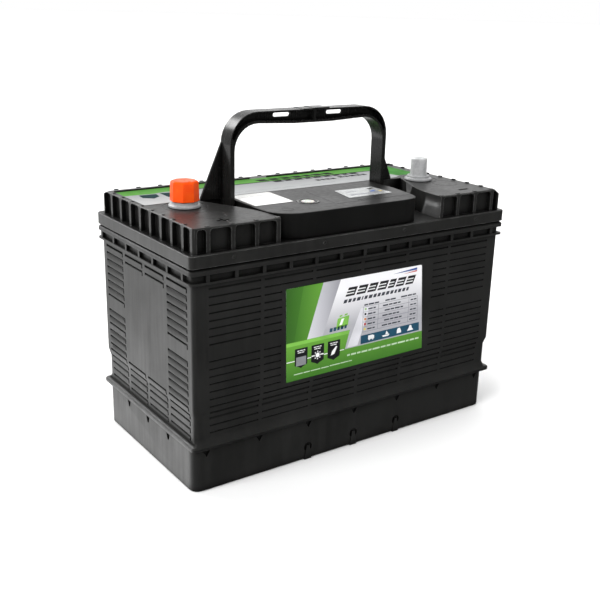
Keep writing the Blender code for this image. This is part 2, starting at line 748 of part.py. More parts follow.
def build_group(name, index, side, count, colour, link, foot):
    """Plates of one sign in one cell, hung from a cast strap.

    The strap turns up beside the partition on the side of link, -1 or +1, or in an end cell has
    no link and reaches under the post at foot."""
    middle = cell_middle(index)
    bm = bmesh.new()
    for k in range(count):
        x = middle + (k - (count - 1) / 2) * PLATE_PITCH
        add_prism(bm, plate_outline(side), x - PLATE_THICK / 2, x + PLATE_THICK / 2, "X")
    group = add_mesh(name, bm, PARTS)
    half = (count - 1) / 2 * PLATE_PITCH + PLATE_THICK / 2 + 0.7
    near, far = sorted((side * LUG_INNER, side * LUG_OUTER))
    if link:
        edge = link * (CELL_PITCH / 2 - PARTITION / 2 - 0.55)
        x0, x1 = sorted((edge, -link * half))
        strap = (middle + x0, middle + x1, near, far, STRAP_LOW, STRAP_HIGH)
        x0, x1 = sorted((edge, edge - link * 6.0))
        arm = (middle + x0, middle + x1, near + 1.0, far - 1.0, STRAP_HIGH - 2.0, LINK_Z + 6.4)
    else:
        strap = (middle - half, middle + half, near, far, STRAP_LOW, STRAP_HIGH)
        y0, y1 = sorted((side * (LUG_INNER + 2.0), foot[1] + 11.5))
        arm = (foot[0] - 10.0, foot[0] + 10.0, y0, y1, STRAP_LOW + 0.5, STRAP_HIGH - 0.2)
    join(group, boxes(f"{name}_strap", CUTTERS, [strap]))
    join(group, boxes(f"{name}_arm", CUTTERS, [arm]))
    finish(group, colour, 0.8)


def build_separators(index):
    """Sheets between the plates of one cell, standing on a shared mat."""
    middle, half_width = cell_middle(index), 72.5
    mat = (middle - 19.0, middle + 19.0, -half_width, half_width, CELL_FLOOR + 0.5, CELL_FLOOR + 2.0)
    separators = boxes(f"separators_{index + 1}", PARTS, [mat])
    spans = []
    for k in range(8):
        x = middle + (k - 3.5) * PLATE_PITCH / 2
        near, far = x - SEPARATOR_THICK / 2, x + SEPARATOR_THICK / 2
        spans.append((near, far, -half_width, half_width, CELL_FLOOR + 1.2, PLATE_TOP + 3.0))
    join(separators, boxes(f"separators_{index + 1}_sheets", CUTTERS, spans))
    finish(separators, (0.8, 0.8, 0.76), 0.9)


def build_cells():
    for index in range(CELL_COUNT):
        # The positive strap meets the partition towards the previous cell, the negative the next one.
        side, number = -link_side(index), index + 1
        before = -1 if index > 0 else 0
        after = 1 if number < CELL_COUNT else 0
        build_group(f"positive_plates_{number}", index, side, 4, (0.16, 0.06, 0.03), before, POSITIVE)
        build_group(f"negative_plates_{number}", index, -side, 5, (0.28, 0.29, 0.3), after, NEGATIVE)
        build_separators(index)
    half = PARTITION / 2 + 0.25
    for index in range(CELL_COUNT - 1):
        x = cell_middle(index) + CELL_PITCH / 2
        bm = bmesh.new()
        centre = (link_side(index) * LUG_MIDDLE, LINK_Z)
        add_round(bm, centre, LINK_RADIUS, x - half, x + half, "X", LINK_STEPS)
        finish(add_mesh(f"cell_link_{index + 1}", bm, PARTS), LEAD, 0.5, 1.0)


for startup in list(bpy.data.objects):
    bpy.data.objects.remove(startup)
PARTS = collection("deep_cycle_battery")
CUTTERS = collection("cutters")

build_case()
build_lid()
build_cover()
build_handle()
build_terminal("positive", POSITIVE, 8.6, 8.0, 239.0)
build_terminal("negative", NEGATIVE, 8.15, 7.65, 241.3)
build_cap()
build_trim()
build_vents()
build_cells()
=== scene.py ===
"""Looks of a deep cycle battery: wall grooves, moulded details, printed films and materials."""

import math

import bmesh
import bpy
from mathutils import Matrix, Vector


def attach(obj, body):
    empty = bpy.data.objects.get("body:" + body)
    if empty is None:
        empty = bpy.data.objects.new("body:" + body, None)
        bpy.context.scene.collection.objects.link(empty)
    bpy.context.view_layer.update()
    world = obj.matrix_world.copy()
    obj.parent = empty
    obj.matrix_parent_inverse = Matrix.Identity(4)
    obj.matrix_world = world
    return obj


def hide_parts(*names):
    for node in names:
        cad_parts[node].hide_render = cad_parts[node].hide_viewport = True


MM = 0.001  # sizes below are in millimetres

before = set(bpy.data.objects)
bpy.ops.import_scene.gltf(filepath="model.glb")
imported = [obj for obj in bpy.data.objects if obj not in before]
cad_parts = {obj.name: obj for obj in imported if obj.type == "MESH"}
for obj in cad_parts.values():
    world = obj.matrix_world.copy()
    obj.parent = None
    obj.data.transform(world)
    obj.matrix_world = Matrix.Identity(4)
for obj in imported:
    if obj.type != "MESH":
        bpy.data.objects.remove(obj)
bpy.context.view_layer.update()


# ---------------------------------------------------------------- mesh helpers


def scaled(point):
    """A point in millimetres, in metres."""
    return [value * MM for value in point]


def add_rings(bm, rings, ring_closed=False):
    """Skins a row of rings of 3-D points, capping both ends or closing the row on itself."""
    rows = [[bm.verts.new(scaled(point)) for point in ring] for ring in rings]
    pairs = list(zip(rows, rows[1:]))
    if ring_closed:
        pairs.append((rows[-1], rows[0]))
    else:
        bm.faces.new(rows[0][::-1])
        bm.faces.new(rows[-1])
    for low, high in pairs:
        for i in range(len(low)):
            j = (i + 1) % len(low)
            bm.faces.new((low[i], low[j], high[j], high[i]))


LIFTS = {
    "Z": lambda a, b, h: (a, b, h),
    "Y": lambda a, b, h: (a, h, b),
    "X": lambda a, b, h: (h, a, b),
}


def add_prism(bm, outline, low, high, axis="Z"):
    """Extrudes a flat outline of pairs along an axis: (x, y) along Z, (x, z) along Y, (y, z) along X."""
    lift = LIFTS[axis]
    add_rings(bm, [[lift(a, b, h) for a, b in outline] for h in (low, high)])


def add_box(bm, x0, x1, y0, y1, z0, z1):
    """A box from its limits along each axis."""
    add_prism(bm, [(x0, y0), (x1, y0), (x1, y1), (x0, y1)], z0, z1)


def add_turned(bm, centre, profile, steps=48, tube=False, axis="Z"):
    """Turns a profile of (radius, distance along the axis) pairs about an axis through the centre."""
    lift = LIFTS[axis]
    rings = []
    for radius, along in profile:
        ring = []
        for k in range(steps):
            angle = 2 * math.pi * k / steps
            a, b = centre[0] + radius * math.cos(angle), centre[1] + radius * math.sin(angle)
            ring.append(lift(a, b, along))
        rings.append(ring)
    add_rings(bm, rings, ring_closed=tube)


def new_piece(name, bm):
    """A linked object made from the bmesh, which is freed."""
    bmesh.ops.recalc_face_normals(bm, faces=bm.faces)
    mesh = bpy.data.meshes.new(name)
    bm.to_mesh(mesh)
    bm.free()
    piece = bpy.data.objects.new(name, mesh)
    bpy.context.scene.collection.objects.link(piece)
    return piece


def shade(piece, angle=32):
    """Smooth shading that keeps edges sharper than the angle, led by the larger faces."""
    for face in piece.data.polygons:
        face.use_smooth = True
    piece.data.set_sharp_from_angle(angle=math.radians(angle))
    modifier = piece.modifiers.new("even_normals", "WEIGHTED_NORMAL")
    modifier.keep_sharp = True
    modifier.weight = 80


def copy_of(node, name):
    """A new piece that starts from the CAD node's own shape."""
    bm = bmesh.new()
    bm.from_mesh(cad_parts[node].data)
    bmesh.ops.remove_doubles(bm, verts=bm.verts, dist=1e-6)
    bmesh.ops.dissolve_limit(bm, angle_limit=math.radians(0.2), verts=bm.verts, edges=bm.edges)
    return new_piece(name, bm)


def carve(piece, bm, operation="DIFFERENCE"):
    """Cuts the bmesh's solids out of the piece, or joins them to it, and keeps only the result."""
    tool = new_piece(f"{piece.name}_tool", bm)
    modifier = piece.modifiers.new("carve", "BOOLEAN")
    modifier.operation = operation
    modifier.solver = "EXACT"
    modifier.object = tool
    graph = bpy.context.evaluated_depsgraph_get()
    mesh = bpy.data.meshes.new_from_object(piece.evaluated_get(graph))
    piece.modifiers.clear()
    piece.data = mesh
    bpy.data.objects.remove(tool)


def settle(piece, material, body, *nodes):
    """Gives a piece its material and body, and the CAD nodes that it stands for."""
    piece.data.materials.clear()
    piece.data.materials.append(material)
    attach(piece, body)
    if nodes:
        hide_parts(*nodes)


def circle(x, y, radius, steps=24):
    """Outline of a round shape."""
    return [
        (x + radius * math.cos(2 * math.pi * k / steps), y + radius * math.sin(2 * math.pi * k / steps))
        for k in range(steps)
    ]


# ---------------------------------------------------------------- case details

# Half width and half length of the case above the bevel, the same below it, and the bevel's heights
WALL_FRONT, WALL_END = 83.6, 162.1
LOW_WALL_FRONT, LOW_WALL_END = 81.6, 160.6
BEVEL_LOW, BEVEL_HIGH = 66.0, 73.0
# Grooves in the long walls: middles of the columns, half a column's width, and heights of the rows
FRONT_COLUMNS = (-125.0, -75.0, -25.0, 25.0, 75.0, 125.0)
FRONT_HALF = 23.3
FRONT_ROWS = (
    172.0, 165.5, 159.0, 152.5, 146.2, 140.0, 133.5, 127.0, 113.0, 106.5, 100.2, 94.0, 87.5, 81.0, 74.7,
)
LOW_ROWS = ((69.0, 2.0), (64.0, 2.0), (57.5, 1.4), (51.3, 1.2))  # height, and how tall the groove is
# Heights between which the front label sits, and where the short grooves beside it start and end
LABEL_ROWS = (79.0, 160.5)
BESIDE_LABEL = (81.5, 98.3)
# Grooves in the end walls; the two middle columns have fewer rows, round a plain panel
END_COLUMNS = (-57.8, -19.2, 19.2, 57.5)
END_HALF = 16.8
END_ROWS = (
    172.0, 165.5, 159.0, 152.5, 146.0, 139.5, 133.0, 126.5, 112.5, 106.0, 99.5, 93.0, 87.0, 80.0, 74.0,
)
END_LOW_ROWS = (67.5, 61.5, 55.0, 48.6)
PANEL_ROWS = (172.0, 165.5, 74.0)
GROOVE_TALL, TOP_GROOVE_TALL, GROOVE_DEEP = 1.35, 1.6, 1.1
END_GROOVE_TALL, END_GROOVE_DEEP = 2.0, 1.5
OUTSIDE = 3.0  # how far a cutter reaches past the wall
# Base: half length and half width, heights of the notches under the ledge, and middles of the lugs
BASE_X, BASE_Y = 162.4, 81.2
NOTCH_TOP, NOTCH_LOW = 36.0, 30.6
NOTCH_PITCH, END_NOTCH_PITCH, NOTCH_DEEP = 50.0, 38.0, 1.6
LUG_SPOTS = (-50.0, 0.0, 50.0)
DIMPLE_HEIGHT, DIMPLE_RADIUS, DIMPLE_DEEP = 12.0, 4.2, 1.2


def wall_depth(z, wall, low_wall):
    """Distance of the wall from the middle at a height: it leans in across the bevel."""
    if z >= BEVEL_HIGH:
        return wall
    if z <= BEVEL_LOW:
        return low_wall
    return low_wall + (wall - low_wall) * (z - BEVEL_LOW) / (BEVEL_HIGH - BEVEL_LOW)


def add_groove(bm, side, low, high, z, tall, deep, end=False):
    """Groove with a level upper lip and a sloped lower one, across a long wall or an end wall."""
    outer = wall_depth(z, WALL_END, LOW_WALL_END) if end else wall_depth(z, WALL_FRONT, LOW_WALL_FRONT)
    top, foot, clear, floor = z + tall / 2, z - tall / 2, outer + OUTSIDE, outer - deep
    section = [(clear, top), (floor, top), (floor, z - 0.2 * tall), (outer, foot), (clear, foot)]
    add_prism(bm, [(side * reach, height) for reach, height in section], low, high, "Y" if end else "X")


def wall_grooves():
    """Rows of thin grooves in columns on all four walls, left out where the front label sits."""
    bm = bmesh.new()
    for side in (-1, 1):
        for column in FRONT_COLUMNS:
            outer = abs(column) > 100
            for z in FRONT_ROWS:
                behind_label = side < 0 and LABEL_ROWS[0] < z < LABEL_ROWS[1]
                if behind_label and abs(column) < 50:
                    continue
                if behind_label and not outer:
                    x0, x1 = sorted(math.copysign(edge, column) for edge in BESIDE_LABEL)
                else:
                    x0, x1 = column - FRONT_HALF, column + FRONT_HALF
                tall = TOP_GROOVE_TALL if z == FRONT_ROWS[0] else GROOVE_TALL
                add_groove(bm, side, x0, x1, z, tall, GROOVE_DEEP)
            x0, x1 = column - FRONT_HALF, column + FRONT_HALF
            if outer:
                x0, x1 = (x0 + 1.0, x1) if column < 0 else (x0, x1 - 1.0)
            for z, tall in LOW_ROWS:
                add_groove(bm, side, x0, x1, z, tall, GROOVE_DEEP)
        for column in END_COLUMNS:
            y0, y1 = column - END_HALF, column + END_HALF
            for z in end_rows(column):
                add_groove(bm, side, y0, y1, z, END_GROOVE_TALL, END_GROOVE_DEEP, end=True)
    return bm


def end_rows(column):
    """Heights of the grooves in a column of an end wall: the middle columns leave a plain panel."""
    upper = END_ROWS if abs(column) > 40 else PANEL_ROWS
    return upper + END_LOW_ROWS


def groove_ends():
    """Short upright nicks that close the front end of each groove on the end walls."""
    bm = bmesh.new()
    for side in (-1, 1):
        for column in END_COLUMNS:
            y0 = column - END_HALF - 0.3
            for z in end_rows(column):
                outer = wall_depth(z, WALL_END, LOW_WALL_END)
                x0, x1 = sorted((side * (outer - 1.35), side * (outer + OUTSIDE)))
                add_box(bm, x0, x1, y0, y0 + 1.6, z - 3.6, z + 0.1)
    return bm


def base_notches():
    """Small wedge-shaped notches under the ledge, and dimples low on the long sides."""
    bm = bmesh.new()
    for side in (-1, 1):
        y0, y1 = sorted((side * (BASE_Y - NOTCH_DEEP), side * (BASE_Y + 2.0)))
        for k in range(-3, 4):
            x = NOTCH_PITCH * k
            add_prism(bm, [(x - 3.2, NOTCH_TOP), (x, NOTCH_LOW), (x + 3.2, NOTCH_TOP)], y0, y1, "Y")
        x0, x1 = sorted((side * (BASE_X - NOTCH_DEEP), side * (BASE_X + 2.0)))
        for k in (-1, 0, 1):
            y = END_NOTCH_PITCH * k
            outline = [(y - 3.0, NOTCH_TOP), (y - 1.0, NOTCH_LOW), (y + 1.0, NOTCH_LOW), (y + 3.0, NOTCH_TOP)]
            add_prism(bm, outline, x0, x1, "X")
        y0, y1 = sorted((side * (BASE_Y - DIMPLE_DEEP), side * (BASE_Y + 2.0)))
        for x in LUG_SPOTS:
            add_prism(bm, circle(x, DIMPLE_HEIGHT, DIMPLE_RADIUS, 20), y0, y1, "Y")
    return bm


def base_lugs():
    """Small moulded lugs inside the dimples."""
    bm = bmesh.new()
    for side in (-1, 1):
        y0, y1 = sorted((side * 79.0, side * 81.9))
        for x in LUG_SPOTS:
            add_prism(bm, [(x - 3.6, 0.3), (x + 3.6, 0.3), (x + 1.4, 13.5), (x - 1.4, 13.5)], y0, y1, "Y")
    return bm


def build_case(material):
    """Case with grooved walls and, on its base, notches, dimples and lugs."""
    case = copy_of("case", "case_shell")
    carve(case, wall_grooves())
    carve(case, groove_ends())
    carve(case, base_notches())
    carve(case, base_lugs(), "UNION")
    shade(case)
    settle(case, material, "battery", "case")


# ---------------------------------------------------------------- lid details

POSITIVE, NEGATIVE = (-131.0, -14.5), (120.0, -14.5)  # middles of the posts
SIGN_FLOOR, RING_FLOOR, ABOVE_LID = 219.0, 219.8, 222.0  # heights that the cuts reach down to, and start at
# Faint circles on the platforms: radius and middles
LID_CIRCLES = ((17.6, (POSITIVE, NEGATIVE)), (11.6, ((-127.3, -50.5), (130.8, -39.4))))
CIRCLE_LINE = 0.7
FLANGE_PIPS, PIP_HEIGHT = (-128.0, -43.0, 42.0, 127.5), 195.5
PIP_DOME = ((1.5, 85.5), (1.5, 86.8), (1.1, 87.1), (0.3, 87.2))  # radius, distance from the middle


def plus_outline(x, y, arm, half):
    """Outline of a plus sign with arms of the given length and half width."""
    return [
        (x - arm, y - half), (x - half, y - half), (x - half, y - arm), (x + half, y - arm),
        (x + half, y - half), (x + arm, y - half), (x + arm, y + half), (x + half, y + half),
        (x + half, y + arm), (x - half, y + arm), (x - half, y + half), (x - arm, y + half),
    ]


def build_lid(material):
    """Lid with an engraved plus and minus, faint circles on the platforms and pips along the flange."""
    lid = copy_of("lid", "lid_shell")
    signs = bmesh.new()
    add_prism(signs, plus_outline(-127.6, -70.0, 5.6, 1.6), SIGN_FLOOR, ABOVE_LID)
    add_box(signs, 119.0, 131.0, -72.2, -69.0, SIGN_FLOOR, ABOVE_LID)
    carve(lid, signs)
    for radius, centres in LID_CIRCLES:  # one cut for each radius, as the circles overlap
        outer = radius + CIRCLE_LINE
        profile = [(radius, RING_FLOOR), (radius, ABOVE_LID), (outer, ABOVE_LID), (outer, RING_FLOOR)]
        rings = bmesh.new()
        for centre in centres:
            add_turned(rings, centre, profile, 64, tube=True)
        carve(lid, rings)
    pips = bmesh.new()
    for x in FLANGE_PIPS:
        for side in (-1, 1):
            profile = [(radius, side * reach) for radius, reach in PIP_DOME]
            add_turned(pips, (x, PIP_HEIGHT), profile, 14, axis="Y")
    carve(lid, pips, "UNION")
    shade(lid)
    settle(lid, material, "battery", "lid")


# ---------------------------------------------------------------- node helpers


class Nodes:
    """A short way to write a material's node tree."""

    def __init__(self, name):
        self.material = bpy.data.materials.new(name)
        self.material.use_nodes = True
        self.tree = self.material.node_tree
        self.shader = self.tree.nodes["Principled BSDF"]
        self.place = self.add("ShaderNodeTexCoord").outputs["Object"]

    def add(self, kind, **settings):
        node = self.tree.nodes.new(kind)
        for key, value in settings.items():
            setattr(node, key, value)
        return node

    def link(self, source, target):
        self.tree.links.new(source, target)

    def stretched(self, scale):
        """Object coordinates with a scale for each axis."""
        mapping = self.add("ShaderNodeMapping")
        mapping.inputs["Scale"].default_value = scale
        self.link(self.place, mapping.inputs["Vector"])
        return mapping.outputs["Vector"]

    def noise(self, scale, detail=3.0, roughness=0.55, stretch=None):
        node = self.add("ShaderNodeTexNoise")
        node.inputs["Scale"].default_value = scale
        node.inputs["Detail"].default_value = detail
        node.inputs["Roughness"].default_value = roughness
        self.link(self.stretched(stretch) if stretch else self.place, node.inputs["Vector"])
        return node.outputs["Fac"]

    def ramp(self, source, low, high, from_low=0.3, from_high=0.7):
        """Maps the source from one span to another."""
        node = self.add("ShaderNodeMapRange")
        node.inputs["From Min"].default_value = from_low
        node.inputs["From Max"].default_value = from_high
        node.inputs["To Min"].default_value = low
        node.inputs["To Max"].default_value = high
        self.link(source, node.inputs["Value"])
        return node.outputs["Result"]

    def mix(self, factor, a, b):
        """Mixes two colours; each argument is a constant or a socket."""
        node = self.add("ShaderNodeMix", data_type="RGBA")
        for socket, value in ((node.inputs["Factor"], factor), (node.inputs["A"], a), (node.inputs["B"], b)):
            if hasattr(value, "links"):
                self.link(value, socket)
            elif isinstance(value, (int, float)):
                socket.default_value = value
            else:
                socket.default_value = (*value, 1.0)
        return node.outputs["Result"]

    def combine(self, a, b, operation="ADD"):
        """Adds two values, or combines them in another way."""
        node = self.add("ShaderNodeMath", operation=operation)
        for socket, value in zip(node.inputs, (a, b)):
            if hasattr(value, "links"):
                self.link(value, socket)
            else:
                socket.default_value = value
        return node.outputs["Value"]

    def bump(self, height, distance, strength=1.0, normal=None):
        node = self.add("ShaderNodeBump")
        node.inputs["Strength"].default_value = strength
        node.inputs["Distance"].default_value = distance
        self.link(height, node.inputs["Height"])
        if normal:
            self.link(normal, node.inputs["Normal"])
        return node.outputs["Normal"]

    def soft_edges(self, radius):
        """Normal that is rounded over at the edges."""
        node = self.add("ShaderNodeBevel")
        node.samples = 5
        node.inputs["Radius"].default_value = radius
        return node.outputs["Normal"]

    def openness(self, reach):
        """1 in the open, falling towards 0 deep in grooves, pockets and narrow gaps."""
        node = self.add("ShaderNodeAmbientOcclusion", samples=8)
        node.inputs["Distance"].default_value = reach
        return node.outputs["AO"]

    def edge_mask(self, rounded):
        """1 along edges, 0 on flat ground: how far the rounded normal leans from the true one."""
        dot = self.add("ShaderNodeVectorMath", operation="DOT_PRODUCT")
        self.link(rounded, dot.inputs[0])
        self.link(self.add("ShaderNodeNewGeometry").outputs["Normal"], dot.inputs[1])
        return self.ramp(dot.outputs["Value"], 1.0, 0.0, 0.86, 0.99)

    def finish(self, colour, roughness, normal=None, **constants):
        """Links the shader's main inputs, sets its constants and gives the material."""
        for name, value in (("Base Color", colour), ("Roughness", roughness), ("Normal", normal)):
            if value is not None:
                self.link(value, self.shader.inputs[name])
        for name, value in constants.items():
            self.shader.inputs[name.replace("_", " ")].default_value = value
        return self.material


def toned(colour, share):
    """The colour, darkened or lightened."""
    return [part * share for part in colour]


def moulded_plastic(name, dark, edge_wear_and_highlight, smooth, rough, edge=0.45, specular=0.5, streaks=0.5, reach=9.0):
    """Black moulded plastic: fine grain, flow streaks, scuffs, edges lightened by wear and, where their
    colour is pale, by a painted highlight, and painted shade that darkens the colour and dims the reflections
    in recesses.
    """
    n = Nodes(name)
    grain_height = n.noise(1500.0, detail=2.0)
    streak = n.noise(1.0, detail=4.0, stretch=(240.0, 240.0, 14.0))
    cloud = n.noise(22.0, detail=5.0, roughness=0.6)
    scuff = n.noise(1.0, detail=6.0, roughness=0.7, stretch=(90.0, 320.0, 420.0))
    base = n.soft_edges(edge * MM)
    # Edge colour: wear along edges and scuffs; where the edge colour is pale, as on the lid, it is a painted
    # highlight along rims, ribs and pips.
    rubbed_and_highlit = n.combine(n.edge_mask(base), n.ramp(scuff, 0.25, 1.0, 0.4, 0.62), "MULTIPLY")
    tone = n.mix(n.ramp(cloud, 0.0, 1.0, 0.35, 0.7), dark, toned(dark, 1.5))
    tone = n.mix(n.ramp(streak, 0.0, streaks, 0.45, 0.75), tone, toned(dark, 2.0))
    # Painted shade: ambient occlusion darkens the colour in grooves, pockets and narrow gaps.
    painted_recess_shade = n.ramp(n.openness(reach * MM), 0.08, 1.0, 0.4, 0.92)
    colour = n.mix(painted_recess_shade, toned(dark, 0.3), n.mix(rubbed_and_highlit, tone, edge_wear_and_highlight))
    level = n.combine(n.ramp(streak, -0.05, 0.05), n.ramp(cloud, smooth, rough))
    level = n.combine(level, n.ramp(scuff, 0.0, 0.07, 0.58, 0.75))
    wavy = n.bump(streak, 0.08 * streaks * MM, 0.6, base)
    normal = n.bump(grain_height, 0.02 * MM, 0.8, wavy)
    # Painted shade in the reflections: the specular level falls in grooves, pockets and narrow gaps.
    n.link(n.combine(painted_recess_shade, specular, "MULTIPLY"), n.shader.inputs["Specular IOR Level"])
    return n.finish(colour, level, normal)


def cast_lead(name, light, dull, metallic=0.35):
    """Cast lead: grey with dull oxide patches, fine turning marks and small dents."""
    n = Nodes(name)
    patches = n.noise(240.0, detail=6.0, roughness=0.65)
    marks = n.noise(1.0, detail=3.0, stretch=(160.0, 160.0, 2600.0))
    dents = n.noise(420.0, detail=2.0)
    colour = n.mix(n.ramp(patches, 0.0, 1.0, 0.35, 0.65), light, dull)
    level = n.combine(n.ramp(patches, 0.3, 0.55), n.ramp(marks, -0.05, 0.06))
    normal = n.bump(marks, 0.03 * MM, 0.7, n.soft_edges(0.3 * MM))
    normal = n.bump(dents, 0.08 * MM, 0.5, normal)
    return n.finish(colour, level, normal, Metallic=metallic)


def bright_plastic(name, colour, deep, specular=0.5):
    """Bright plastic that light sinks into a little: slight marbling and a faint grain."""
    n = Nodes(name)
    cloud = n.noise(130.0, detail=5.0)
    grain = n.noise(1800.0, detail=2.0)
    tone = n.mix(n.ramp(cloud, 0.0, 1.0, 0.3, 0.7), colour, deep)
    level = n.ramp(cloud, 0.28, 0.42)
    normal = n.bump(grain, 0.015 * MM, 0.6, n.soft_edges(0.5 * MM))
    return n.finish(
        tone, level, normal, Specular_IOR_Level=specular, Subsurface_Weight=0.25,
        Subsurface_Scale=1.5 * MM, Subsurface_Radius=(1.0, 0.25, 0.08),
    )


def printed_film(
    name, colour, deep, smooth=0.3, rough=0.42, blend_axis=None, span=(0.0, 1.0), metallic=0.0, gloss=0.35
):
    """Printed film: a slow shift of tone, or a blend along an axis, with fine dots and a wavy gloss."""
    n = Nodes(name)
    cloud = n.noise(60.0, detail=3.0)
    dots = n.noise(2600.0, detail=1.0)
    if blend_axis is None:
        factor = n.ramp(cloud, 0.0, 1.0, 0.35, 0.65)
    else:
        parts = n.add("ShaderNodeSeparateXYZ")
        n.link(n.place, parts.inputs["Vector"])
        factor = n.ramp(parts.outputs[blend_axis], 0.0, 1.0, span[0] * MM, span[1] * MM)
    tone = n.mix(factor, colour, deep)
    tone = n.mix(n.ramp(dots, 0.0, 0.12, 0.45, 0.6), tone, toned(deep, 0.8))
    level = n.ramp(cloud, smooth, rough)
    normal = n.bump(cloud, 0.25 * MM, 0.35, n.bump(dots, 0.006 * MM, 0.5))
    return n.finish(tone, level, normal, Specular_IOR_Level=gloss, Metallic=metallic)


def rough_solid(name, colour, deep, level_low, level_high, grain_scale, depth, metallic=0.0):
    """Porous or fibrous stuff: mottled colour with a coarse, matt surface."""
    n = Nodes(name)
    mottle = n.noise(grain_scale, detail=6.0, roughness=0.7)
    tone = n.mix(n.ramp(mottle, 0.0, 1.0, 0.3, 0.7), colour, deep)
    level = n.ramp(mottle, level_low, level_high)
    return n.finish(tone, level, n.bump(mottle, depth * MM, 0.8), Metallic=metallic)


# ---------------------------------------------------------------- cover, handle and terminals

COVER_TOP = 221.0
HANDLE_MIDDLE, HANDLE_Y = -7.85, -9.5
GUSSET_RIBS = ((86.5, 221.6, 254.0), (91.0, 221.6, 243.0))  # distance from the middle, foot, head
DISC = (-34.0, -49.0)  # middle of the vent disc
# Radius and height, from the rim up to the top
CAP_PROFILE = (
    (11.9, 225.3), (11.9, 226.2), (11.75, 226.5), (11.4, 239.4), (11.2, 240.2), (10.8, 240.9),
    (10.2, 241.35), (9.4, 241.55), (7.8, 241.6),
)
CAP_SIDES, CAP_TURN = 8, math.radians(11.4)
# Sign, middle, radius at the foot, radius at the top, height of the top
POSTS = (("positive", POSITIVE, 8.6, 8.0, 239.0), ("negative", NEGATIVE, 8.15, 7.65, 241.3))


def build_cover(material):
    """Vent cover with a fine parting line, a few faint moulded bars and a shallow ring by a corner."""
    cover = copy_of("vent_cover", "vent_cover_shell")
    floor, above = COVER_TOP - 0.15, COVER_TOP + 1.0
    marks = bmesh.new()
    ring = [(4.6, floor), (4.6, above), (5.2, above), (5.2, floor)]
    add_turned(marks, (-66.0, -66.0), ring, 40, tube=True)
    add_prism(marks, [(-12.9, -16.0), (-18.3, -65.0), (-17.8, -65.0), (-12.4, -16.0)], floor, above)
    add_prism(marks, [(-17.6, -68.4), (62.0, -68.4), (62.0, -67.9), (-17.6, -67.9)], floor, above)
    for k in range(4):
        add_box(marks, 8.0 + 4.6 * k, 11.2 + 4.6 * k, -66.0, -63.4, floor, above)
    carve(cover, marks)
    shade(cover)
    settle(cover, material, "battery", "vent_cover")


def build_handle(material):
    """Strap handle with thin upright ribs on its gussets."""
    handle = copy_of("handle", "handle_hoop")
    ribs = bmesh.new()
    for side in (-1, 1):
        for reach, low, high in GUSSET_RIBS:
            x0, x1 = sorted((HANDLE_MIDDLE + side * reach, HANDLE_MIDDLE + side * (reach + 0.9)))
            add_box(ribs, x0, x1, HANDLE_Y + 5.3, HANDLE_Y + 6.2, low, high)
    carve(handle, ribs, "UNION")
    shade(handle)
    settle(handle, material, "handle", "handle")


def build_post(sign, centre, radius, top_radius, top, material):
    """Tapered lead post with a wide foot, a rounded shoulder and a shallow dimple on its end."""
    profile = [
        (11.0, 174.4), (11.0, 178.0), (radius, 180.0), (radius, 225.0), (radius - 0.1, 226.4),
        (radius - 0.3, 226.7), (top_radius + 0.02, top - 2.0), (top_radius - 0.15, top - 1.0),
        (top_radius - 0.6, top - 0.3), (top_radius - 1.3, top), (3.2, top), (2.6, top - 0.5),
        (0.4, top - 0.9),
    ]
    bm = bmesh.new()
    add_turned(bm, centre, profile, 64)
    post = new_piece(f"{sign}_post_casting", bm)
    shade(post, 40)
    settle(post, material, "battery", f"{sign}_post")


def build_bushing(sign, centre, hole, material):
    """Lead ring round a post: a sleeve through the lid, a rolled flange and a raised collar."""
    profile = [
        (hole, 208.0), (10.2, 208.0), (10.2, 220.3), (12.75, 220.3), (13.0, 220.5), (13.0, 221.7),
        (12.7, 222.2), (12.2, 222.5), (11.1, 222.6), (10.75, 222.9), (10.6, 224.2), (10.35, 224.6),
        (9.9, 224.8), (hole, 224.8),
    ]
    bm = bmesh.new()
    add_turned(bm, centre, profile, 72, tube=True)
    bushing = new_piece(f"{sign}_bushing_ring", bm)
    shade(bushing, 40)
    settle(bushing, material, "battery", f"{sign}_bushing")


def build_cap(material):
    """Eight-sided cap: eased corners, a rolled shoulder, a rim lip below and two small marks on top."""
    half_side = math.pi / CAP_SIDES
    rings = []
    for radius, z in CAP_PROFILE:
        ring = []
        for k in range(CAP_SIDES):
            for lean in (-0.1, 0.0, 0.1):
                angle = CAP_TURN + 2 * math.pi * (k + lean) / CAP_SIDES
                reach = radius
                if lean:  # a point on the flat side, next to the corner
                    reach = radius * (math.cos(half_side) / math.cos(half_side * (1 - 2 * abs(lean))))
                ring.append((POSITIVE[0] + reach * math.cos(angle), POSITIVE[1] + reach * math.sin(angle), z))
        rings.append(ring)
    bm = bmesh.new()
    add_rings(bm, rings)
    cap = new_piece("positive_cap_shell", bm)
    inside = bmesh.new()
    add_turned(inside, POSITIVE, [(9.2, 222.0), (9.0, 239.9)], 48)
    carve(cap, inside)
    marks = bmesh.new()
    add_box(marks, POSITIVE[0] - 1.0, POSITIVE[0] + 1.0, POSITIVE[1] - 9.6, POSITIVE[1] - 7.6, 240.9, 243.0)
    add_turned(marks, POSITIVE, [(0.9, 241.2), (0.9, 243.0)], 20)
    carve(cap, marks)
    shade(cap, 25)
    settle(cap, material, "cap", "positive_cap")


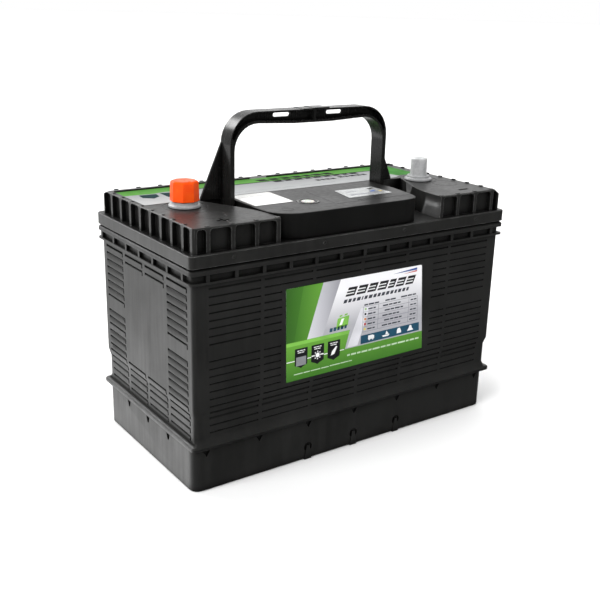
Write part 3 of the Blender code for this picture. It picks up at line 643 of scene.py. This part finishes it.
def build_disc(dark, bright):
    """Push-in disc in the cover: a rolled rim, a ring of pips and a bright round inlay."""
    profile = [
        (10.0, 220.5), (10.0, 221.05), (9.8, 221.3), (9.4, 221.4), (8.6, 221.4), (8.2, 221.2),
        (7.9, 221.05), (0.4, 221.05),
    ]
    bm = bmesh.new()
    add_turned(bm, DISC, profile, 56)
    disc = new_piece("vent_disc_button", bm)
    pips = bmesh.new()
    for x, y in circle(*DISC, 6.9, 14):
        add_prism(pips, circle(x, y, 0.55, 8), 220.8, 221.3)
    carve(disc, pips, "UNION")
    shade(disc, 40)
    settle(disc, dark, "battery", "vent_disc")
    bm = bmesh.new()
    add_turned(bm, DISC, [(5.6, 221.0), (5.6, 221.2), (5.2, 221.32), (3.0, 221.36), (0.3, 221.38)], 40)
    inlay = new_piece("vent_disc_inlay", bm)
    shade(inlay, 40)
    settle(inlay, bright, "battery")


# ---------------------------------------------------------------- printed labels

# Planes that the films lie on: the front wall, the lid's deck and the cover
LABEL_WALL, DECK_PLANE, COVER_PLANE = -83.7, 220.1, 221.1
FILM, INK = 0.14, 0.035  # thickness of a film, and of one layer of ink
FRONT_LABEL = ((-78.0, 160.5), (-76.0, 79.0), (74.5, 79.5), (67.5, 160.0))
DECK_LABEL = ((-157.5, 61.5), (-157.5, 4.0), (108.0, 4.0), (118.0, 10.5), (141.0, 10.5), (141.0, 61.5))
COVER_STICKER = ((-82.8, -44.6), (-45.0, -44.0), (-42.4, -4.0), (-44.0, -1.6), (-81.4, -1.8))
SEAL_STICKER = ((5.0, -55.5), (53.5, -54.5), (53.5, -25.5), (11.5, -25.0))


class Printer:
    """Makes one label: its film, then thin shapes of ink in layers above it."""

    def __init__(self, label, slot, looks, axis="Y", base=LABEL_WALL):
        self.label, self.slot, self.looks, self.axis, self.base = label, slot, looks, axis, base

    def add(self, name, shapes, start, stop, look, *nodes):
        """One piece made of flat shapes, between two distances out from the label's plane."""
        out = -1.0 if self.axis == "Y" else 1.0
        low, high = sorted((self.base + out * start, self.base + out * stop))
        bm = bmesh.new()
        for shape in shapes:
            add_prism(bm, shape, low, high, self.axis)
        piece = new_piece(f"{self.label}_{name}", bm)
        settle(piece, self.looks[look], "battery", *nodes)

    def film(self, name, outline, look):
        """The label's own film, with its corners slightly rounded."""
        self.add(name, [eased(outline, 1.2)], 0.0, FILM, look, self.label)

    def ink(self, name, shapes, layer, look):
        """One printed colour: closed shapes on a layer above the film, joined in one piece."""
        self.add(name, shapes, FILM + INK * (layer - 1.3), FILM + INK * layer, look)


def eased(outline, radius, steps=5):
    """Rounds each corner of a flat outline."""
    points = []
    for i, corner in enumerate(outline):
        here = Vector(corner)
        before = (Vector(outline[i - 1]) - here).normalized() * radius
        after = (Vector(outline[(i + 1) % len(outline)]) - here).normalized() * radius
        for k in range(steps + 1):
            t = k / steps
            points.append(tuple(here + before * (1 - t) ** 2 + after * t**2))
    return points


def slanted(x, z, long, high, lean=0.2):
    """A bar that leans to the right by a share of its height."""
    return [(x, z), (x + long, z), (x + long + lean * high, z + high), (x + lean * high, z + high)]


def bars(x, z, high, widths, gap, lean=0.2, rise=0.0):
    """A row of plain slanted bars that stands for a line of print."""
    row = []
    for k, width in enumerate(widths):
        start = x + sum(widths[:k]) + gap * k
        row.append(slanted(start, z + rise * (start - x), width, high, lean))
    return row


def block(x0, z0, x1, z1):
    """A plain upright rectangle."""
    return [(x0, z0), (x1, z0), (x1, z1), (x0, z1)]


def shield(x0, x1, top, low):
    """A badge with square shoulders and a small point below."""
    middle, side, near = (x0 + x1) / 2, low + 3.0, low + 1.2
    point = [(middle - 2.0, near), (middle, low), (middle + 2.0, near)]
    return [(x0, top), (x0, side), *point, (x1, side), (x1, top)]


def front_print(looks):
    """Front label: green fields on silver, with bars and plain shapes in place of all print."""
    label = Printer("front_label", "label_film", looks)
    label.film("film", FRONT_LABEL, "silver_film")
    front_fields(label)
    front_title(label)
    front_badges(label)
    front_table(label)


def front_fields(label):
    """Coloured bands and fields, in the first two layers."""
    top, low = 160.5, 113.5
    label.ink("dark_green", [[(-78.05, top), (-76.9, low), (-69.0, low), (-61.0, top)]], 1, "deep_green")
    label.ink("light_green", [[(-69.0, low), (-56.0, low), (-41.0, top), (-61.0, top)]], 1, "light_green")
    label.ink("grey_band", [[(-56.0, low), (-40.0, low), (-23.0, top - 0.05), (-41.0, top)]], 1, "grey_band")
    field = [(-76.9, low), (-76.05, 78.98), (74.5, 79.45), (72.9, 96.6), (-15.6, 96.6), (-11.0, low)]
    label.ink("field", [field], 1, "field_green")
    label.ink("slant", [[(-13.4, 97.4), (-2.0, 97.4), (10.0, 131.0), (0.0, 131.0)]], 1, "pale_slant")
    highlight = [(-76.75, 113.2), (-76.7, 110.2), (-12.2, 110.2), (-11.3, 113.2)]
    label.ink("highlight", [highlight], 2, "bright_green")
    label.ink("line", [[(-76.1, 96.9), (-76.1, 96.2), (-16.6, 96.2), (-16.6, 96.9)]], 2, "white_ink")


def front_title(label):
    """Two rows of bars and a double swoosh, in the upper right."""
    title = bars(-17.5, 144.2, 7.6, (9.6, 9.8, 9.2, 9.6, 7.0, 9.2, 9.0), 2.0, 0.45)
    widths = (8.4, 8.6, 8.0, 8.4, 6.0, 8.0, 8.0)
    stripes = bars(-17.0, 146.1, 0.9, widths, 3.2, 0.45) + bars(-16.3, 148.6, 0.9, widths, 3.2, 0.45)
    label.ink("title", title, 2, "black_ink")
    label.ink("title_stripes", stripes, 3, "white_ink")
    widths = (3.4, 3.2, 3.0, 3.8, 1.4, 3.2, 3.8, 3.2, 3.0, 3.4, 3.4, 3.2, 2.6, 3.4, 3.2, 2.6)
    label.ink("subtitle", bars(-19.5, 138.6, 3.0, widths, 1.5, 0.4), 2, "dark_ink")
    label.ink("swoosh_blue", [[(34.0, 156.2), (62.0, 158.4), (62.0, 156.4)]], 2, "blue_ink")
    label.ink("swoosh_red", [[(46.0, 154.6), (62.0, 156.0), (62.0, 154.8)]], 2, "red_ink")


def front_badges(label):
    """Three badges with simple signs in them, and a small battery with a row of bars under it."""
    badges = ((-68.0, -55.2), (-51.2, -38.2), (-34.2, -21.2))
    label.ink("badges", [shield(x0, x1, 107.0, 89.2) for x0, x1 in badges], 3, "black_ink")
    x, z = -44.7, 97.4
    signs = [circle(x, z, 2.1, 20)] + [circle(*spot, 0.6, 8) for spot in circle(x, z, 3.3, 8)]
    signs += [block(x - 6.2, z - 0.5, x - 3.9, z + 0.5), block(x + 3.9, z - 0.5, x + 6.2, z + 0.5)]
    signs.append([(-30.5, 94.0), (-27.0, 94.8), (-24.2, 101.0), (-25.4, 101.6), (-29.6, 97.6)])
    for x0, x1 in badges:
        signs += bars(x0 + 2.4, 104.6, 0.7, (2.0, 3.0, 1.8), 0.5, 0.0)
        signs += bars(x0 + 2.9, 102.9, 0.7, (3.2, 2.6), 0.5, 0.0)
    label.ink("badge_icons", signs, 4, "white_ink")
    label.ink("badge_grille", [block(-66.6, 91.6, -56.6, 99.4)], 4, "grey_ink")
    battery = [
        [(-26.0, 117.0), (-13.6, 118.2), (-12.4, 127.2), (-24.8, 126.0)],
        [(-23.0, 127.0), (-20.0, 127.4), (-19.8, 128.8), (-22.8, 128.4)],
        [(-17.6, 127.4), (-14.6, 127.8), (-14.4, 129.2), (-17.4, 128.8)],
    ]
    label.ink("battery_icon", battery, 2, "bright_green")
    label.ink("icon_cut", [[(-22.8, 119.6), (-20.0, 119.9), (-17.8, 125.4), (-20.6, 125.1)]], 3, "white_ink")
    caption = bars(-33.0, 115.3, 3.4, (3.0, 3.0, 2.6, 3.0, 2.4), 1.0, 0.1, 0.03)
    label.ink("icon_caption", caption, 2, "teal_ink")


def front_table(label):
    """Ruled table of bars with a key of colours, a dark bar with four signs, and small print."""
    low, step, left, right = 108.4, 4.6, 2.5, 66.6
    table = []
    for k in range(6):
        z = low + step * k
        end = right - 0.075 * (z - 108.0)
        table.append([(left, z), (end, z), (end, z + 0.35), (left, z + 0.35)])
    for x in (left, 19.5, 54.5, 66.0):
        lean = 0.0 if x < 60.0 else -1.6
        table.append([(x, low), (x + 0.4, low), (x + 0.4 + lean, 131.4), (x + lean, 131.4)])
    words = []
    for k in range(5):
        z = 110.1 + step * k
        words += bars(8.0, z, 1.2, (5.0, 2.6), 0.8, 0.1)
        words += bars(24.5 + (k % 2) * 2.2, z, 1.2, (6.0, 4.0, 5.6 - k % 3, 3.0), 0.9, 0.1)
        words += bars(56.6, z, 1.2, (3.0, 3.2), 0.8, 0.1)
    words += bars(3.5, 132.6, 1.3, (4.0, 6.0, 4.6), 0.8, 0.1) + bars(27.0, 132.9, 1.3, (5.0, 6.0), 0.8, 0.1)
    words += bars(45.0, 133.1, 1.3, (7.0, 5.0, 4.0), 0.8, 0.1)
    label.ink("table", table, 2, "grey_ink")
    label.ink("table_text", words, 3, "dark_ink")
    for k, colour in enumerate(("yellow_ink", "red_ink", "orange_ink", "black_ink", "green_ink")):
        z = 110.0 + step * k
        label.ink(f"key_{colour}", [block(4.2, z, 6.2, z + 2.0)], 4, colour)
    label.ink("bar", [[(1.4, 97.6), (69.2, 97.9), (68.6, 105.8), (1.4, 105.5)]], 2, "teal_ink")
    signs = [
        [(9.6, 100.4), (16.4, 100.4), (16.4, 103.2), (14.6, 104.2), (9.6, 104.2)],
        circle(11.2, 100.3, 0.8, 10), circle(14.9, 100.3, 0.8, 10),
        [(25.4, 101.0), (34.2, 101.0), (32.6, 99.6), (26.6, 99.6)],
        [(29.2, 101.4), (33.0, 101.4), (30.4, 104.8)],
        [(42.6, 99.8), (47.6, 99.8), (47.6, 101.6), (46.0, 104.6), (43.6, 104.6), (42.6, 102.6)],
        [(54.6, 99.8), (62.2, 99.8), (60.4, 102.0), (59.4, 104.8), (57.4, 104.8), (56.4, 102.0)],
    ]
    label.ink("symbols", signs, 3, "white_ink")
    widths = (3.0, 5.4, 3.6, 6.4, 3.4, 8.0, 5.6, 4.4, 6.0, 8.4, 3.2, 5.0, 4.4)
    small = bars(-13.0, 89.6, 1.5, widths, 1.3, 0.15)
    small += bars(-68.6, 84.0, 0.8, (9.0, 6.4, 10.0, 8.0), 0.9, 0.1)
    small += bars(-31.5, 84.2, 0.8, (11.0, 9.0, 3.0), 0.5, 0.1)
    label.ink("small_print", small, 2, "pale_ink")


def deck_print(looks):
    """Deck label: silver with a green rear edge and right end, and rows of bars."""
    label = Printer("deck_label", "label_film", looks, "Z", DECK_PLANE)
    label.film("film", DECK_LABEL, "deck_silver")
    right, rear = 108.0, 61.2
    green = [(-157.2, rear), (-157.2, 44.0), (-132.0, 42.0), (-120.0, 44.5), (right, 44.5), (right, rear)]
    label.ink("green", [green], 1, "deck_green")
    end = [(right, rear), (right, 44.5), (116.4, 10.8), (140.7, 10.8), (140.7, rear)]
    label.ink("green_end", [end], 1, "deck_green_end")
    label.ink("edge", [[(-112.0, 44.4), (-112.0, 42.4), (108.6, 42.4), (right, 44.4)]], 1, "deck_black")
    marks = bars(-20.0, 46.5, 7.4, (10.4, 10.0, 9.8, 10.2, 7.6, 9.8, 9.6), 3.0, -0.25)
    marks += bars(-9.0, 37.0, 5.0, (9.4, 8.0, 9.8, 7.2, 9.6, 8.4, 9.0, 6.8, 9.2), 2.6, -0.2)
    label.ink("marks", marks, 2, "deck_black")
    blobs = [
        [(-145.6, 40.6), (-146.6, 30.0), (-139.0, 24.0), (-131.4, 30.0), (-129.8, 39.6)],
        [(-125.4, 41.6), (-125.9, 24.0), (-118.4, 25.0), (-117.4, 40.0)],
    ]
    label.ink("blobs", blobs, 2, "deck_teal")
    row = bars(30.0, 24.6, 5.0, (4.6, 3.4, 5.0, 4.2), 1.6, -0.15)
    row += bars(58.7, 27.6, 5.4, (5.6, 4.4, 6.2, 5.0, 4.8), 1.8, -0.15)
    label.ink("row", row, 2, "deck_black")
    label.ink("faint", bars(-112.0, 20.5, 3.8, (8.0, 6.0, 9.0, 6.6), 2.0, -0.15), 2, "grey_ink")
    widths = (12.0, 9.0, 15.0, 11.0, 13.0, 8.0, 16.0, 12.0, 10.0, 14.0)
    label.ink("lines", bars(-100.0, 12.6, 1.3, widths, 2.4, 0.0), 2, "grey_ink")


def cover_prints(looks):
    """Paper sticker with faint rows of bars, and a silver seal sticker with two grey bands of painted
    reflection and small plain patches.
    """
    paper = Printer("cover_sticker", "sticker_paper", looks, "Z", COVER_PLANE)
    paper.film("paper", COVER_STICKER, "paper")
    faint = []
    for k in range(5):
        faint += bars(-76.0 + 1.5 * (k % 2), -12.0 - 6.2 * k, 0.9, (7.0, 4.6, 6.4, 3.8), 1.6, 0.0)
    paper.ink("marks", faint, 1, "faint_ink")
    seal = Printer("seal_sticker", "seal_film", looks, "Z", COVER_PLANE)
    seal.film("film", SEAL_STICKER, "seal_film")
    # Painted reflection: two grey bands stand for the sheen across the silver seal film.
    painted_reflection_bands = [
        [(12.0, -49.0), (47.0, -48.4), (48.0, -44.6), (13.0, -45.0)],
        [(17.0, -36.5), (30.0, -36.2), (30.0, -33.8), (17.4, -34.0)],
    ]
    seal.ink("marks", painted_reflection_bands, 1, "grey_ink")
    patches = (
        ("deck_black", [(44.0, -34.2), (51.0, -31.0), (51.0, -29.4), (46.0, -31.0), (43.0, -30.6)]),
        ("pale_blue", [(38.0, -44.0), (44.6, -42.6), (45.4, -38.0), (40.0, -39.4)]),
        ("pale_gold", [(46.0, -46.6), (50.6, -45.0), (51.0, -41.6), (47.0, -42.4)]),
    )
    for tint, shape in patches:
        seal.ink(f"patch_{tint}", [shape], 2, tint)


# ---------------------------------------------------------------- materials in use

BLACK = (0.011, 0.011, 0.0105)
# Films and inks that blend from one colour to another along an axis, between two places
BLENDS = {
    "silver_film": ((0.36, 0.36, 0.39), (0.8, 0.8, 0.82), "Z", (118.0, 150.0)),
    "deep_green": ((0.03, 0.115, 0.012), (0.05, 0.18, 0.016), "X", (-77.0, -60.0)),
    "light_green": ((0.04, 0.16, 0.014), (0.105, 0.3, 0.03), "X", (-70.0, -44.0)),
    "grey_band": ((0.62, 0.62, 0.66), (0.3, 0.3, 0.33), "X", (-56.0, -26.0)),
    "field_green": ((0.04, 0.16, 0.014), (0.125, 0.35, 0.036), "Z", (79.0, 112.0)),
}
INKS = {
    "pale_slant": (0.66, 0.66, 0.7),
    "bright_green": (0.2, 0.5, 0.07),
    "white_ink": (0.85, 0.86, 0.86),
    "pale_ink": (0.5, 0.66, 0.45),
    "black_ink": (0.012, 0.012, 0.014),
    "dark_ink": (0.045, 0.05, 0.065),
    "grey_ink": (0.25, 0.26, 0.28),
    "faint_ink": (0.6, 0.6, 0.6),
    "blue_ink": (0.02, 0.07, 0.3),
    "red_ink": (0.5, 0.02, 0.02),
    "orange_ink": (0.7, 0.22, 0.02),
    "yellow_ink": (0.75, 0.6, 0.08),
    "green_ink": (0.3, 0.5, 0.2),
    "teal_ink": (0.012, 0.075, 0.13),
    "pale_blue": (0.1, 0.16, 0.4),
    "pale_gold": (0.45, 0.36, 0.16),
}
DULL_INKS = {"deck_black": (0.01, 0.01, 0.012), "deck_teal": (0.008, 0.03, 0.034)}


def label_looks():
    """Every film and ink, by name."""
    looks = {}
    for name, (colour, deep, axis, span) in BLENDS.items():
        looks[name] = printed_film(name, colour, deep, blend_axis=axis, span=span)
    for name, colour in INKS.items():
        looks[name] = printed_film(name, colour, toned(colour, 0.82))
    for name, colour in DULL_INKS.items():
        looks[name] = printed_film(name, colour, toned(colour, 0.82), 0.6, 0.7, gloss=0.05)
    looks["deck_silver"] = printed_film(
        "deck_silver", (0.42, 0.43, 0.43), (0.24, 0.245, 0.25), 0.5, 0.6, "Y", (4.0, 44.0), gloss=0.12
    )
    looks["deck_green"] = printed_film(
        "deck_green", (0.07, 0.27, 0.018), (0.04, 0.17, 0.012), 0.5, 0.6, "Y", (38.0, 62.0), gloss=0.15
    )
    looks["deck_green_end"] = printed_film(
        "deck_green_end", (0.03, 0.2, 0.012), (0.02, 0.14, 0.01), 0.5, 0.6, gloss=0.12
    )
    looks["paper"] = rough_solid("paper", (0.86, 0.86, 0.84), (0.8, 0.8, 0.78), 0.45, 0.6, 900.0, 0.01)
    looks["seal_film"] = printed_film(
        "seal_film", (0.5, 0.51, 0.51), (0.36, 0.37, 0.37), smooth=0.14, rough=0.26, metallic=0.2
    )
    return looks


def dress_cad(name, material):
    """A CAD node that keeps its own shape gets a finished material."""
    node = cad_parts[name]
    for entry in node.material_slots:
        entry.material = material
    if not node.material_slots:
        node.data.materials.append(material)


def dress_inside():
    """Materials for the plates, mats, links and valves, which keep their CAD shapes."""
    positive = rough_solid("lead_dioxide", (0.1, 0.035, 0.018), (0.16, 0.07, 0.04), 0.75, 0.95, 700.0, 0.12)
    negative = rough_solid("sponge_lead", (0.2, 0.205, 0.21), (0.3, 0.31, 0.32), 0.6, 0.85, 800.0, 0.1, 0.3)
    mat = rough_solid("glass_mat", (0.78, 0.78, 0.74), (0.62, 0.62, 0.57), 0.85, 1.0, 1600.0, 0.08)
    rubber = rough_solid("valve_rubber", (0.02, 0.02, 0.02), (0.04, 0.04, 0.042), 0.7, 0.85, 900.0, 0.02)
    lead = cast_lead("strap_lead", (0.3, 0.305, 0.31), (0.17, 0.175, 0.18))
    looks = {
        "positive_plates": positive,
        "negative_plates": negative,
        "separators": mat,
        "cell_link": lead,
        "vent_valve": rubber,
    }
    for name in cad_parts:
        for start, material in looks.items():
            if name.startswith(start):
                dress_cad(name, material)


def build_object():
    """Every piece of the battery, with its material and body."""
    worn_black = (0.03, 0.03, 0.03)
    case_plastic = moulded_plastic("case_plastic", BLACK, (0.05, 0.05, 0.048), 0.42, 0.52)
    # The lid's pale edge colour is a painted highlight along its rims, ribs and pips.
    lid_plastic = moulded_plastic(
        "lid_plastic", BLACK, (0.22, 0.22, 0.215), 0.34, 0.44, edge=0.7, reach=16.0
    )
    cover_plastic = moulded_plastic(
        "cover_plastic", toned(BLACK, 0.35), worn_black, 0.34, 0.44, specular=0.6
    )
    handle_plastic = moulded_plastic(
        "handle_plastic", toned(BLACK, 0.7), worn_black, 0.2, 0.3, edge=0.4, specular=0.36, streaks=0.1,
        reach=5.0,
    )
    bright_lead = cast_lead("bright_lead", (0.68, 0.685, 0.69), (0.54, 0.545, 0.55))
    ring_lead = cast_lead("ring_lead", (0.46, 0.465, 0.47), (0.36, 0.365, 0.37))
    orange = bright_plastic("cap_orange", (0.9, 0.1, 0.006), (0.86, 0.065, 0.004), specular=0.2)
    white_disc = bright_plastic("disc_plastic", (0.62, 0.62, 0.6), (0.5, 0.5, 0.48))
    disc_rim = moulded_plastic("disc_rim", toned(BLACK, 2.0), (0.2, 0.2, 0.2), 0.2, 0.3, edge=0.3)
    build_case(case_plastic)
    build_lid(lid_plastic)
    build_cover(cover_plastic)
    build_handle(handle_plastic)
    for sign, centre, radius, top_radius, top in POSTS:
        build_post(sign, centre, radius, top_radius, top, bright_lead)
        build_bushing(sign, centre, radius + 0.3, ring_lead)
    build_cap(orange)
    build_disc(disc_rim, white_disc)
    looks = label_looks()
    front_print(looks)
    deck_print(looks)
    cover_prints(looks)
    dress_inside()


# ---------------------------------------------------------------- stage, light and camera


FLOOR_RADIUS, FLOOR_LOW, FLOOR_TOP = 30000.0, -40.0, -0.05
# Strength of the even light from all round, and of the three glows added to it
SURROUND, BACK_GLOW, LEFT_GLOW, EDGE_GLOW = 0.05, 1.0, 2.3, 10.0
# Name, direction that the light comes from, strength, and the angle that it seems to fill
SUNS = (
    ("overhead_light", (0.1, 0.15, 1.0), 1.15, 70.0),
    ("left_fill", (-0.8, -0.12, 0.58), 3.3, 40.0),
    ("front_fill", (0.25, -0.8, 0.55), 1.5, 60.0),
)
CAMERA_PLACE = (-457.8, -638.5, 375.4)
CAMERA_ANGLES = (-35.358, 18.383, 1.477)  # azimuth, elevation and roll
CAMERA_SENSOR, CAMERA_LENS = 36.0, 53.09


def build_stage():
    """Wide pale floor with a faint mottle."""
    bm = bmesh.new()
    add_prism(bm, circle(0.0, 0.0, FLOOR_RADIUS, 64), FLOOR_LOW, FLOOR_TOP)
    floor = new_piece("studio_floor", bm)
    n = Nodes("floor_paint")
    mottle = n.noise(3.0, detail=3.0)
    colour = n.mix(n.ramp(mottle, 0.0, 1.0, 0.3, 0.7), (0.93, 0.93, 0.93), (0.9, 0.9, 0.9))
    floor.data.materials.append(n.finish(colour, n.ramp(mottle, 0.7, 0.8), Specular_IOR_Level=0.2))
    floor.visible_glossy = False


def build_world():
    """White to the camera; lights the object from behind, from low on the left and by a patch high behind."""
    world = bpy.data.worlds.new("studio")
    world.use_nodes = True
    bpy.context.scene.world = world
    tree = world.node_tree
    background = tree.nodes["Background"]
    place = tree.nodes.new("ShaderNodeTexCoord").outputs["Generated"]

    def glow(direction, start, stop, strength):
        """Light that grows as the ray turns towards the direction, between two cosines."""
        dot = tree.nodes.new("ShaderNodeVectorMath")
        dot.operation = "DOT_PRODUCT"
        tree.links.new(place, dot.inputs[0])
        dot.inputs[1].default_value = Vector(direction).normalized()
        spread = tree.nodes.new("ShaderNodeMapRange")
        spread.interpolation_type = "SMOOTHSTEP"
        for key, value in zip(("From Min", "From Max", "To Min", "To Max"), (start, stop, 0.0, strength)):
            spread.inputs[key].default_value = value
        tree.links.new(dot.outputs["Value"], spread.inputs["Value"])
        return spread.outputs["Result"]

    def plus(a, b):
        node = tree.nodes.new("ShaderNodeMath")
        for socket, value in zip(node.inputs, (a, b)):
            if isinstance(value, float):
                socket.default_value = value
            else:
                tree.links.new(value, socket)
        return node.outputs["Value"]

    back = glow((0.45, 0.88, 0.12), 0.2, 0.95, BACK_GLOW)
    left = glow((-0.5, 0.58, -0.64), 0.8, 0.95, LEFT_GLOW)
    edges = glow((-0.27, 0.77, 0.58), 0.955, 0.992, EDGE_GLOW)
    lit = plus(plus(plus(back, left), edges), SURROUND)
    seen = tree.nodes.new("ShaderNodeMix")
    seen.data_type = "FLOAT"
    tree.links.new(tree.nodes.new("ShaderNodeLightPath").outputs["Is Camera Ray"], seen.inputs["Factor"])
    tree.links.new(lit, seen.inputs["A"])
    seen.inputs["B"].default_value = 1.0
    tree.links.new(seen.outputs["Result"], background.inputs["Strength"])
    background.inputs["Color"].default_value = (1.0, 1.0, 1.0, 1.0)


def add_soft_sun(name, direction, strength, spread):
    """Very soft light from far away, left out of reflections."""
    light = bpy.data.lights.new(name, "SUN")
    light.energy = strength
    light.angle = math.radians(spread)
    lamp = bpy.data.objects.new(name, light)
    lamp.rotation_euler = Vector(direction).to_track_quat("Z", "Y").to_euler()
    lamp.visible_glossy = False
    bpy.context.scene.collection.objects.link(lamp)


def build_camera():
    """Camera at the three-quarter view: left end and front in sight, slightly above the lid."""
    azimuth, elevation, roll = (math.radians(angle) for angle in CAMERA_ANGLES)
    level = math.cos(elevation)
    back = Vector((math.sin(azimuth) * level, -math.cos(azimuth) * level, math.sin(elevation)))
    side = (-back).cross(Vector((0, 0, 1))).normalized()
    up = side.cross(-back)
    right = math.cos(roll) * side + math.sin(roll) * up
    above = -math.sin(roll) * side + math.cos(roll) * up
    data = bpy.data.cameras.new("camera")
    data.sensor_width, data.lens = CAMERA_SENSOR, CAMERA_LENS
    data.clip_start, data.clip_end = 0.05, 100.0
    camera = bpy.data.objects.new("camera", data)
    turn = Matrix((right, above, back)).transposed().to_4x4()
    camera.matrix_world = Matrix.Translation(Vector(CAMERA_PLACE) * MM) @ turn
    bpy.context.scene.collection.objects.link(camera)
    bpy.context.scene.camera = camera


bpy.context.scene.view_settings.view_transform = "Standard"
build_object()
build_stage()
build_world()
for sun in SUNS:
    add_soft_sun(*sun)
build_camera()
